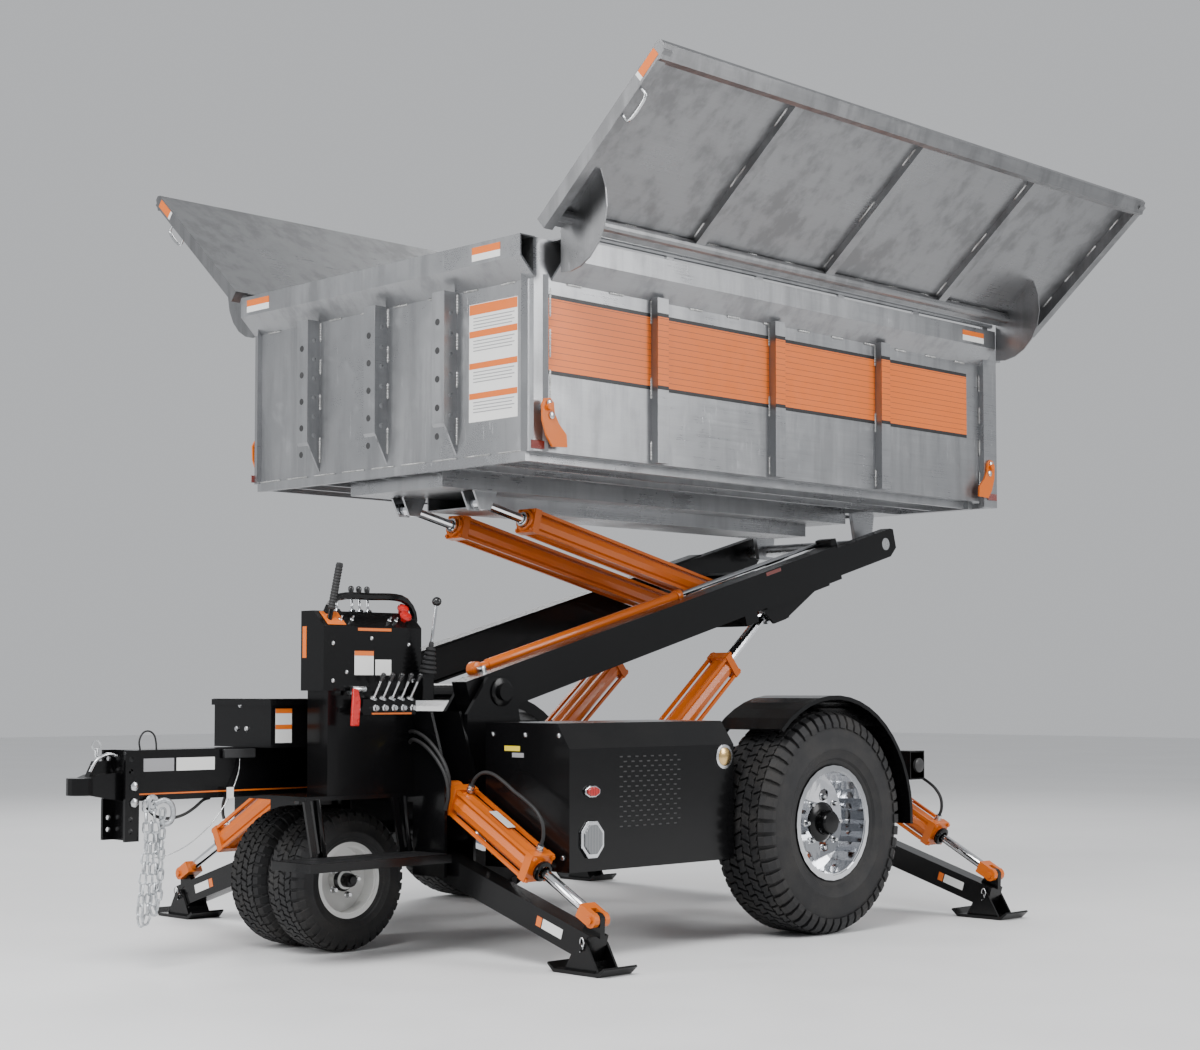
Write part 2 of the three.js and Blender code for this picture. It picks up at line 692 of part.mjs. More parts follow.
const tiltBarrelBody = between(ramBarrel(TILT_GLAND, 44, 32, 48, 42, 40, 26), TILT_LOW, TILT_HIGH, TILT_Y);
const stageTube = cut(
  bar("x", STAGE_START, TILT_GLAND + 24, 0, 0, 29, 12),
  bar("x", STAGE_START + 40, TILT_GLAND + 25, 0, 0, 21, 12),
);
const tiltStageBody = between(stageTube, TILT_LOW, TILT_HIGH, TILT_Y);
const tiltRodBody = between(ramRod(STAGE_START + 95, TILT_SPAN, 18, 24, 24), TILT_LOW, TILT_HIGH, TILT_Y);
add("tilt_barrel_near", far(tiltBarrelBody), ORANGE);
add("tilt_barrel_far", tiltBarrelBody, ORANGE);
add("tilt_stage_near", far(tiltStageBody), CHROME);
add("tilt_stage_far", tiltStageBody, CHROME);
add("tilt_rod_near", far(tiltRodBody), CHROME);
add("tilt_rod_far", tiltRodBody, CHROME);

// ---- dump box ----
function boxBody() {
  const w = BOX_HALF_WIDTH;
  const outer = box(BOX_FRONT, BOX_REAR, -w, w, FLOOR_Z, RAIL_TOP_Z - 1);
  const hollow = box(BOX_FRONT + BOX_WALL, BOX_REAR + 1, -w + BOX_WALL, w - BOX_WALL, FLOOR_Z + BOX_WALL, RAIL_TOP_Z + 1);
  const rib = (x) => box(x - RIB_WIDTH / 2, x + RIB_WIDTH / 2, w - 1, w + RIB_DEPTH, FLOOR_Z + 2, WALL_TOP + 10);
  const post = box(BOX_REAR - 100, BOX_REAR, w - 1, w + 26, FLOOR_Z - 25, RAIL_TOP_Z - 1);
  const corner = prism("z", FLOOR_Z, WALL_TOP + 20, [
    [BOX_FRONT - 20, w - 45],
    [BOX_FRONT + 60, w + 12],
    [BOX_FRONT + 60, w - 1],
    [BOX_FRONT + 1, w - 45],
  ]);
  const flare = [
    [w - 1, WALL_TOP],
    [w + RAIL_FLARE, WALL_TOP + RAIL_FLARE],
    [w + RAIL_FLARE, RAIL_TOP_Z],
    [w - 12, RAIL_TOP_Z],
    [w - 12, RAIL_TOP_Z - 8],
    [w - 1, RAIL_TOP_Z - 8],
  ];
  const sideRail = prism("x", BOX_FRONT + 85, BOX_REAR - 70, flare);
  const frontOutline = [
    [BOX_FRONT + 1, WALL_TOP],
    [BOX_FRONT + 1, RAIL_TOP_Z],
    [BOX_FRONT - RAIL_FLARE, RAIL_TOP_Z],
    [BOX_FRONT - RAIL_FLARE, WALL_TOP + RAIL_FLARE],
  ];
  const frontRail = prism("y", -w - 4, w + 4, frontOutline);
  const lip = 6;
  const sideHollow = prism("x", BOX_FRONT + 84, BOX_REAR - 69, [
    [w, WALL_TOP + lip * 2],
    [w + RAIL_FLARE - lip, WALL_TOP + RAIL_FLARE + lip],
    [w + RAIL_FLARE - lip, RAIL_TOP_Z - lip],
    [w, RAIL_TOP_Z - lip],
  ]);
  const frontHollow = prism("y", -w - 5, w + 5, [
    [BOX_FRONT - lip, WALL_TOP + lip * 3],
    [BOX_FRONT - lip, RAIL_TOP_Z - lip],
    [BOX_FRONT - RAIL_FLARE + lip, RAIL_TOP_Z - lip],
    [BOX_FRONT - RAIL_FLARE + lip, WALL_TOP + RAIL_FLARE + lip],
  ]);
  const hingeBar = bar("x", BOX_FRONT + 90, BOX_REAR - 75, WING_PIVOT[0], WING_PIVOT[1], HINGE_BAR, 8);
  const hingeSpan = (BOX_LENGTH - 260) / 5;
  const hingeFeet = [0, 1, 2, 3, 4, 5].map((i) => {
    const x = BOX_FRONT + 110 + hingeSpan * i;
    return box(x, x + 40, WING_PIVOT[0] - 6, WING_PIVOT[0] + 6, RAIL_TOP_Z - 3, WING_PIVOT[1]);
  });
  const bosses = [BOX_FRONT + LATCH_FRONT, BOX_REAR - LATCH_REAR].map((x) => {
    return bar("y", w - 3, w + LATCH_OFF - GAP, x, LATCH_Z, 15, 10);
  });
  const gateEar = box(BOX_REAR - 3, GATE_PIVOT[0] + 16, w + 2, w + 24, GATE_PIVOT[1] - 30, GATE_PIVOT[1] + 20);
  const frontRib = (y) => prism("y", y - 4, y + 4, [
    [BOX_FRONT + 1, FLOOR_Z + 15],
    [BOX_FRONT + 1, WALL_TOP + 5],
    [BOX_FRONT - 60, WALL_TOP + 5],
    [BOX_FRONT - 60, FLOOR_Z + 130],
  ], [0, 1, 2, 3, 4, 5].map((i) => [BOX_FRONT - 30, FLOOR_Z + 160 + i * 75, 10]));
  const frontFlange = (y) => prism("y", y - 4, y + FRONT_RIB_WIDTH, [
    [BOX_FRONT - 54, FLOOR_Z + 118],
    [BOX_FRONT - 54, WALL_TOP + 5],
    [BOX_FRONT - 62, WALL_TOP + 5],
    [BOX_FRONT - 62, FLOOR_Z + 130],
  ]);
  const ribs = FRONT_RIB_Y.flatMap((y) => [frontRib(y), frontFlange(y)]);
  const rail = join(cut(sideRail, sideHollow), hingeBar, ...hingeFeet);
  const sides = both(join(post, corner, rail, gateEar, ...bosses, ...SIDE_RIB_X.map(rib)));
  return join(cut(outer, hollow), sides, cut(frontRail, frontHollow), ...ribs);
}
add("box_body", boxBody(), ALUMINIUM);

function boxSubframe() {
  const top = FLOOR_Z - GAP;
  const stringers = [60, 240, 420, 600, 770].map((y) => box(BOX_FRONT - 4, BOX_REAR - 110, y - 9, y + 9, top - 30, top));
  const edge = box(BOX_FRONT - 8, BOX_FRONT + 12, -800, 800, top - 34, top);
  const rear = box(BOX_REAR - 140, BOX_REAR - 105, -800, 800, top - 34, top);
  const trayTop = top - 20;
  const tray = cut(
    box(BOX_FRONT + 60, 1150, -275, 275, top - 82, trayTop),
    box(BOX_FRONT + 66, 1144, -269, 269, top - 76, trayTop + 1),
  );
  const spine = cut(box(-1000, 1040, -130, 130, top - 138, top - 79), box(-1001, 1041, -124, 124, top - 132, top - 70));
  const ear = prism("y", 284, 304, [
    [BOX_PIVOT[0] - 95, top - 2],
    [BOX_PIVOT[0] - 48, BOX_PIVOT[1] - 40],
    [BOX_PIVOT[0] + 48, BOX_PIVOT[1] - 40],
    [BOX_PIVOT[0] + 80, top - 2],
  ], [[BOX_PIVOT[0], BOX_PIVOT[1], 28 + GAP]]);
  const earPad = box(BOX_PIVOT[0] - 130, BOX_PIVOT[0] + 100, 235, 424, top - 36, top - 5);
  const rodEar = (y) => prism("y", y, y + 10, [
    [TILT_HIGH[0] - 60, top - 79],
    [TILT_HIGH[0] - 26, TILT_HIGH[1] - 30],
    [TILT_HIGH[0] + 26, TILT_HIGH[1] - 30],
    [TILT_HIGH[0] + 60, top - 79],
  ]);
  const ears = join(ear, earPad, rodEar(TILT_Y - 38), rodEar(TILT_Y + 28));
  const eyeRoom = box(TILT_HIGH[0] - 75, TILT_HIGH[0] + 65, TILT_Y - 28, TILT_Y + 28, top - 90, top - 70);
  return join(cut(tray, both(eyeRoom)), spine, edge, rear, both(join(ears, ...stringers)));
}
add("box_subframe", boxSubframe(), ALUMINIUM);

function tailgate() {
  const x = BOX_REAR + 3;
  const low = FLOOR_Z - 20;
  const high = GATE_TOP;
  const plate = box(x, x + 6, -BOX_HALF_WIDTH + 2, BOX_HALF_WIDTH - 2, low, high);
  const frame = join(
    box(x, x + GATE_THICKNESS, -BOX_HALF_WIDTH + 2, BOX_HALF_WIDTH - 2, low, low + 50),
    box(x, x + GATE_THICKNESS, -BOX_HALF_WIDTH + 2, BOX_HALF_WIDTH - 2, high - 50, high),
  );
  const uprights = [-780, -260, 260, 780].map((y) => box(x, x + GATE_THICKNESS, y - 25, y + 25, low, high));
  const hinge = bar("y", -BOX_HALF_WIDTH + 2, BOX_HALF_WIDTH - 2, GATE_PIVOT[0], GATE_PIVOT[1], 20, 12);
  const straps = [-600, 0, 600].map((y) => box(x + 10, x + 30, y - 40, y + 40, high - 10, high + 18));
  return join(plate, frame, hinge, ...uprights, ...straps);
}
add("tailgate", tailgate(), ALUMINIUM);

// A wing is drawn lying flat: Y along it from the hinge, Z up towards its inner face.
function wing() {
  const x0 = WING_FRONT;
  const x1 = WING_REAR;
  const w = WING_WIDTH;
  const sheet = box(x0, x1, 25, w, -WING_SHEET, 0);
  const endRail = (x) => box(x, x + WING_RAIL, 25, w, -50, 0);
  const hem = prism("x", x0, x1, [
    [w - 52, -1],
    [w - 52, -44],
    [w - 30, -58],
    [w + 14, -30],
    [w + 14, -12],
    [w, 0],
  ]);
  const root = bar("x", x0 + 30, x1 - 30, 72, -22, 22, 12);
  const lip = prism("x", x0 + 60, x1 - 200, [
    [20, 0],
    [75, -1],
    [75, -12],
    [20, -12],
  ]);
  const span = (x1 - x0) / 4;
  const ribs = [1, 2, 3].map((i) => box(x0 + span * i - 25, x0 + span * i + 25, 70, w - 40, -32, -1));
  const fanPoints = [[20, -4], [FAN_RADIUS + 20, -4]];
  for (let i = 1; i <= 8; i += 1) {
    const a = THREE.MathUtils.degToRad((-128 * i) / 8);
    fanPoints.push([Math.cos(a) * FAN_RADIUS * (1 - 0.05 * i) + 16 - i, Math.sin(a) * FAN_RADIUS * (1 - 0.05 * i) - 4]);
  }
  const fans = [BOX_FRONT + FAN_FRONT, BOX_REAR - FAN_REAR].map((x) => prism("x", x, x + 6, fanPoints));
  const body = join(sheet, endRail(x0), endRail(x1 - WING_RAIL), hem, root, lip, ...ribs, ...fans);
  return body.rotate([WING_ANGLE, 0, 0]).translate([0, WING_PIVOT[0], WING_PIVOT[1]]);
}
const wingBody = wing();
add("wing_near", far(wingBody), ALUMINIUM);
add("wing_far", wingBody, ALUMINIUM);

function latch(pinX, dir) {
  const pin = [pinX, LATCH_Z];
  const blade = [
    [-30, 6],
    [-18, 28],
    [8, 32],
    [26, 16],
    [30, -22],
    [52, -58],
    [88, -92],
    [92, -136],
    [20, -140],
    [-8, -104],
    [-28, -50],
  ].map(([u, v]) => [pin[0] + dir * u, pin[1] + v]);
  const outline = dir > 0 ? blade : blade.reverse();
  const y = BOX_HALF_WIDTH + LATCH_OFF;
  return join(prism("y", y, y + 8, outline), bar("y", y + 7, y + 20, pin[0], pin[1], 13, 12));
}
const frontLatch = latch(BOX_FRONT + LATCH_FRONT, 1);
const rearLatch = latch(BOX_REAR - LATCH_REAR, -1);
add("latch_front_near", far(frontLatch), ORANGE);
add("latch_front_far", frontLatch, ORANGE);
add("latch_rear_near", far(rearLatch), ORANGE);
add("latch_rear_far", rearLatch, ORANGE);

// ---- outriggers ----
// Drawn with X along the leg from its pivot, Y across it and Z up, then turned to stand out sideways.
function sideways(body, from, angle, x) {
  const laid = body.rotate([0, (-angle * 180) / Math.PI, 0]);
  return laid.rotate([0, 0, 90]).translate([x, from[0], from[1]]);
}

function outriggerLeg() {
  const d = LEG_HALF_DEPTH;
  const h = LEG_HALF_WIDTH;
  const tube = cut(box(-42, LEG_LENGTH + 26, -h, h, -d, d), box(-43, LEG_LENGTH - 60, -h + 6, h - 6, -d + 6, d - 6));
  const [u, w] = ROD_ON_LEG;
  const lug = prism("y", -11, 11, [
    [u - 46, d - 4],
    [u + 40, d - 4],
    [u + 22, w + 16],
    [u + 8, w + 24],
    [u - 8, w + 24],
    [u - 22, w + 16],
  ]);
  const pinHole = (along) => bar("y", -h - 1, h + 1, along, 0, PIN + RUN, 12);
  return cut(join(tube, lug), pinHole(0), pinHole(LEG_LENGTH));
}

function outriggerRod(from, to) {
  const rod = bar("x", from, to - 44, 0, 0, 15, 12);
  const bridge = box(to - 66, to - 34, -35, 35, -24, 24);
  const cheek = join(box(to - 50, to, 13, 35, -24, 24), bar("y", 13, 35, to, 0, 26, 12));
  const head = bar("y", 34, 44, to, 0, 13, 6);
  return join(rod, bridge, both(join(cheek, head)));
}

function outriggerFoot() {
  const l = PAD_HALF_LENGTH;
  const h = PAD_HALF_WIDTH;
  const pad = prism("y", -h, h, [
    [-l, 26],
    [-l + 30, 0],
    [l - 30, 0],
    [l, 26],
    [l - 4, 32],
    [l - 34, 12],
    [-l + 34, 12],
    [-l + 4, 32],
  ]);
  const ear = prism("y", LEG_HALF_WIDTH + 3, LEG_HALF_WIDTH + 12, [
    [-78, 8],
    [78, 8],
    [26, FOOT_PIN[1] + 8],
    [10, FOOT_PIN[1] + 24],
    [-10, FOOT_PIN[1] + 24],
    [-26, FOOT_PIN[1] + 8],
  ]);
  const pin = bar("y", -LEG_HALF_WIDTH - 24, LEG_HALF_WIDTH + 24, 0, FOOT_PIN[1], PIN - 2, 8);
  return join(pad, pin, both(ear));
}

const legCos = Math.cos(LEG_ANGLE);
const legSin = Math.sin(LEG_ANGLE);
const ROD_PIN = [
  LEG_PIVOT[0] + ROD_ON_LEG[0] * legCos - ROD_ON_LEG[1] * legSin,
  LEG_PIVOT[1] + ROD_ON_LEG[0] * legSin + ROD_ON_LEG[1] * legCos,
];
const RAM_SPAN = Math.hypot(ROD_PIN[0] - RAM_TOP[0], ROD_PIN[1] - RAM_TOP[1]);
const RAM_ANGLE = Math.atan2(ROD_PIN[1] - RAM_TOP[1], ROD_PIN[0] - RAM_TOP[0]);
const RAM_GLAND = 530;
const RAM_ROD_START = 280;

for (const [end, x] of [["front", LEG_X[0]], ["rear", LEG_X[1]]]) {
  const leg = sideways(outriggerLeg(), LEG_PIVOT, LEG_ANGLE, x);
  const barrel = sideways(ramBarrel(RAM_GLAND, 46, 19, 52, 34, 40, PIN), RAM_TOP, RAM_ANGLE, x);
  const rod = sideways(outriggerRod(RAM_ROD_START, RAM_SPAN), RAM_TOP, RAM_ANGLE, x);
  const foot = sideways(outriggerFoot(), [FOOT_PIN[0], 0], 0, x);
  for (const [side, put] of [["near", far], ["far", (body) => body]]) {
    add(`outrigger_leg_${end}_${side}`, put(leg), BLACK);
    add(`outrigger_barrel_${end}_${side}`, put(barrel), ORANGE);
    add(`outrigger_rod_${end}_${side}`, put(rod), ORANGE);
    add(`outrigger_foot_${end}_${side}`, put(foot), BLACK);
  }
}

export default part;
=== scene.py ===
"""Looks of a lifting dump trailer: its camera, light, finishes and the small pieces that the frame carries."""

import logging
import math
from dataclasses import dataclass, field
from enum import Enum
from typing import Any, Callable, Iterable, Sequence

import bpy
from mathutils import Matrix, Vector

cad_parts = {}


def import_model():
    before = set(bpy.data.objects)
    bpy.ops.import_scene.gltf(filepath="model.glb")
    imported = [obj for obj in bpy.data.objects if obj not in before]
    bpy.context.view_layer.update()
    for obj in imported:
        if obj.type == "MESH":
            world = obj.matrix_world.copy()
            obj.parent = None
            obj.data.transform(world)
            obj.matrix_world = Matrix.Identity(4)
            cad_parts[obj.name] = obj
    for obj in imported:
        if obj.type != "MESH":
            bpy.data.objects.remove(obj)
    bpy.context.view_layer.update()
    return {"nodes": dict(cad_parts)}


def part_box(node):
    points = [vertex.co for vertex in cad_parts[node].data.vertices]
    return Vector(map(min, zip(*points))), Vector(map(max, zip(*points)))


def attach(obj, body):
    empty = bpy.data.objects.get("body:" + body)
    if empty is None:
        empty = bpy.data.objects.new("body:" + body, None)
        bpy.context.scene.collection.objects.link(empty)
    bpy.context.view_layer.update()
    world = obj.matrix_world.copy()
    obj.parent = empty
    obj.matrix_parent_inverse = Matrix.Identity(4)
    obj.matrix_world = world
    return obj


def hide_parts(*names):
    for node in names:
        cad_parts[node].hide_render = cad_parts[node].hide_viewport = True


frame: dict[str, Any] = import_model()

LOG = logging.getLogger("trailer")

Point = Sequence[float]
Piece = bpy.types.Object


class Side(Enum):
    """The two sides of the trailer, with the sign of Y on each."""

    NEAR = -1.0
    FAR = 1.0

    @property
    def word(self) -> str:
        """The side's name as the frame's nodes spell it."""
        return self.name.lower()


class End(Enum):
    """The two outrigger stations."""

    FRONT = "front"
    REAR = "rear"


# ---------------------------------------------------------------- modelling


def deselect() -> None:
    """Leaves nothing selected, so an operator touches only its own piece."""
    if bpy.context.mode != "OBJECT":
        bpy.ops.object.mode_set(mode="OBJECT")
    bpy.ops.object.select_all(action="DESELECT")


def focus(piece: Piece) -> None:
    """Makes one piece the only selected and active one.

    Args:
        piece: the object to work on.
    """
    deselect()
    piece.select_set(True)
    bpy.context.view_layer.objects.active = piece


def settle(piece: Piece) -> Piece:
    """Bakes a piece's place, turn and size into its mesh.

    Args:
        piece: the object to bake.

    Returns:
        The same object, now at the origin.
    """
    focus(piece)
    bpy.ops.object.transform_apply(location=True, rotation=True, scale=True)
    return piece


def bevelled(piece: Piece, width: float, segments: int = 2, angle: float = 40.0) -> Piece:
    """Rounds a piece's sharp edges.

    Args:
        piece: the object to round.
        width: the bevel's width in metres.
        segments: faces across the bevel.
        angle: only edges sharper than this many degrees are rounded.

    Returns:
        The same object.
    """
    if width <= 0:
        return piece
    focus(piece)
    mod = piece.modifiers.new("edge", "BEVEL")
    mod.width = width
    mod.segments = segments
    mod.limit_method = "ANGLE"
    mod.angle_limit = math.radians(angle)
    mod.harden_normals = False
    bpy.ops.object.modifier_apply(modifier=mod.name)
    return piece


def smooth(piece: Piece, angle: float = 35.0) -> Piece:
    """Shades a piece smooth, apart from edges sharper than the angle.

    Args:
        piece: the object to shade.
        angle: in degrees.

    Returns:
        The same object.
    """
    focus(piece)
    bpy.ops.object.shade_smooth_by_angle(angle=math.radians(angle))
    return piece


def block(low: Point, high: Point, edge: float = 0.0015, segments: int = 2) -> Piece:
    """A box between two corners with its edges rounded.

    Args:
        low: the lowest corner.
        high: the highest corner.
        edge: width of the rounding.
        segments: faces across it.

    Returns:
        The new piece.
    """
    deselect()
    middle = [(a + b) / 2 for a, b in zip(low, high)]
    bpy.ops.mesh.primitive_cube_add(size=1.0, location=middle)
    piece = bpy.context.object
    piece.scale = [max(abs(b - a), 1e-4) for a, b in zip(low, high)]
    settle(piece)
    return bevelled(piece, edge, segments)


def aim(direction: Vector) -> Matrix:
    """The turn that lays local Z along a direction.

    Args:
        direction: where Z goes.

    Returns:
        A 4x4 rotation.
    """
    return direction.normalized().to_track_quat("Z", "Y").to_matrix().to_4x4()


def rod(start: Point, end: Point, radius: float, sides: int = 24, edge: float = 0.001,
        tip: float = 0.0) -> Piece:
    """A round bar between two points, its ends rounded off.

    Args:
        start: centre of one end.
        end: centre of the other.
        radius: in metres.
        sides: faces round it.
        edge: width of the rounding of the ends.
        tip: radius at the far end, or 0 for the same.

    Returns:
        The new piece.
    """
    deselect()
    a, b = Vector(start), Vector(end)
    length = (b - a).length
    if tip > 0:
        bpy.ops.mesh.primitive_cone_add(vertices=sides, radius1=radius, radius2=tip, depth=length)
    else:
        bpy.ops.mesh.primitive_cylinder_add(vertices=sides, radius=radius, depth=length)
    piece = bpy.context.object
    piece.data.transform(Matrix.Translation((a + b) / 2) @ aim(b - a))
    bevelled(piece, min(edge, radius * 0.4), 2, 50)
    return smooth(piece)


def ball(centre: Point, radius: float, squash: float = 1.0, rings: int = 14) -> Piece:
    """A round knob, flattened along Z if asked.

    Args:
        centre: its middle.
        radius: in metres.
        squash: height as a share of its width.
        rings: rows of faces.

    Returns:
        The new piece.
    """
    deselect()
    bpy.ops.mesh.primitive_uv_sphere_add(segments=rings * 2, ring_count=rings, radius=radius,
            location=centre)
    piece = bpy.context.object
    piece.scale = (1.0, 1.0, squash)
    settle(piece)
    return smooth(piece, 60)


def chain(points: Sequence[Point], closed: bool = False) -> Piece:
    """A line of edges drawn by extruding one vertex from point to point.

    Args:
        points: where the line goes.
        closed: whether the last point joins the first.

    Returns:
        The new piece, left in object mode.
    """
    deselect()
    bpy.ops.mesh.primitive_plane_add(size=0.01, location=points[0])
    piece = bpy.context.object
    settle(piece)
    bpy.ops.object.mode_set(mode="EDIT")
    bpy.ops.mesh.select_all(action="SELECT")
    bpy.ops.mesh.merge(type="CENTER")
    last = Vector(points[0])
    for point in points[1:]:
        step = Vector(point) - last
        bpy.ops.mesh.extrude_region_move(TRANSFORM_OT_translate={"value": step})
        last = Vector(point)
    if closed:
        bpy.ops.mesh.select_all(action="SELECT")
        bpy.ops.mesh.edge_face_add()
    bpy.ops.object.mode_set(mode="OBJECT")
    return piece


def mend(piece: Piece, distance: float = 1e-5) -> Piece:
    """Merges doubled points and turns every face outwards.

    Args:
        piece: the object to mend.
        distance: points closer than this are merged.

    Returns:
        The same object.
    """
    focus(piece)
    bpy.ops.object.mode_set(mode="EDIT")
    bpy.ops.mesh.select_all(action="SELECT")
    bpy.ops.mesh.remove_doubles(threshold=distance)
    bpy.ops.mesh.normals_make_consistent(inside=False)
    bpy.ops.object.mode_set(mode="OBJECT")
    return piece


def drawn(points: Sequence[Point], along: Point, edge: float = 0.001, segments: int = 2) -> Piece:
    """A flat outline pulled along a vector into a solid plate or bar.

    Args:
        points: the outline, in order.
        along: how far and which way it is pulled.
        edge: width of the rounding.
        segments: faces across it.

    Returns:
        The new piece.
    """
    piece = chain(points, closed=True)
    focus(piece)
    bpy.ops.object.mode_set(mode="EDIT")
    bpy.ops.mesh.select_all(action="SELECT")
    bpy.ops.mesh.extrude_region_move(TRANSFORM_OT_translate={"value": Vector(along)})
    bpy.ops.object.mode_set(mode="OBJECT")
    mend(piece)
    return bevelled(piece, edge, segments)


def turned(
    profile: Sequence[tuple[float, float]],
    centre: Point,
    axis: Point,
    steps: int = 48,
    angle: float = 35.0,
) -> Piece:
    """A profile spun all the way round an axis.

    Args:
        profile: (radius, distance along the axis) pairs, in order; first and last are joined if both are off the axis.
        centre: the point that distances are counted from.
        axis: direction of the axis.
        steps: faces round it.
        angle: sharper edges than this stay hard.

    Returns:
        The new piece.
    """
    way = Vector(axis).normalized()
    side = way.orthogonal().normalized()
    middle = Vector(centre)
    line = [middle + side * r + way * a for r, a in profile]
    if profile[0][0] > 1e-6 and profile[-1][0] > 1e-6:
        line.append(line[0])
    piece = chain(line)
    focus(piece)
    bpy.ops.object.mode_set(mode="EDIT")
    bpy.ops.mesh.select_all(action="SELECT")
    bpy.ops.mesh.spin(steps=steps, angle=math.tau, center=middle, axis=way)
    bpy.ops.object.mode_set(mode="OBJECT")
    mend(piece, 2e-5)
    return smooth(piece, angle)


def curved(points: Sequence[Point], per_span: int = 6) -> list[Vector]:
    """Points on a smooth curve through the given ones.

    Args:
        points: the points the curve passes.
        per_span: how many steps between two of them.

    Returns:
        The finer points.
    """
    p = [Vector(q) for q in points]
    p = [p[0] * 2 - p[1], *p, p[-1] * 2 - p[-2]]
    out: list[Vector] = []
    for i in range(1, len(p) - 2):
        for s in range(per_span):
            t = s / per_span
            a, b, c, d = p[i - 1], p[i], p[i + 1], p[i + 2]
            out.append(0.5 * (2 * b + (c - a) * t + (2 * a - 5 * b + 4 * c - d) * t**2 + (3 * b - a - 3 * c + d) * t**3))
    out.append(p[-2])
    return out


def pipe(points: Sequence[Point], radius: float, per_span: int = 6, sides: int = 3) -> Piece:
    """A round tube swept along a smooth curve.

    Args:
        points: the points its middle passes.
        radius: in metres.
        per_span: steps between two points; 1 keeps straight runs.
        sides: the bevel resolution; 3 gives 16 faces round.

    Returns:
        The new piece, a mesh.
    """
    line = curved(points, per_span) if per_span > 1 else [Vector(q) for q in points]
    piece = chain(line)
    focus(piece)
    bpy.ops.object.convert(target="CURVE")
    piece = bpy.context.object
    piece.data.bevel_depth = radius
    piece.data.bevel_resolution = sides
    piece.data.use_fill_caps = True
    bpy.ops.object.convert(target="MESH")
    piece = bpy.context.object
    return smooth(piece, 50)


def copied(piece: Piece, move: Matrix) -> Piece:
    """A copy of a piece with its own mesh, moved by a matrix.

    Args:
        piece: the pattern.
        move: where the copy goes; a mirror is allowed.

    Returns:
        The copy.
    """
    twin = piece.copy()
    twin.data = piece.data.copy()
    bpy.context.scene.collection.objects.link(twin)
    twin.data.transform(move)
    if move.determinant() < 0:
        twin.data.flip_normals()
    return twin


def united(pieces: Sequence[Piece]) -> Piece:
    """Joins several pieces of one finish into one object.

    Args:
        pieces: at least one object.

    Returns:
        The joined object.
    """
    deselect()
    for one in pieces:
        one.select_set(True)
    bpy.context.view_layer.objects.active = pieces[0]
    if len(pieces) > 1:
        bpy.ops.object.join()
    return bpy.context.object


def turn_about(centre: Point, axis: Point, angle: float) -> Matrix:
    """A rotation about a line.

    Args:
        centre: a point on the line.
        axis: its direction.
        angle: in radians.

    Returns:
        The 4x4 matrix.
    """
    at = Matrix.Translation(Vector(centre))
    return at @ Matrix.Rotation(angle, 4, Vector(axis)) @ at.inverted()


FLIP_Y: Matrix = Matrix.Scale(-1.0, 4, (0.0, 1.0, 0.0))


# ---------------------------------------------------------------- finishes


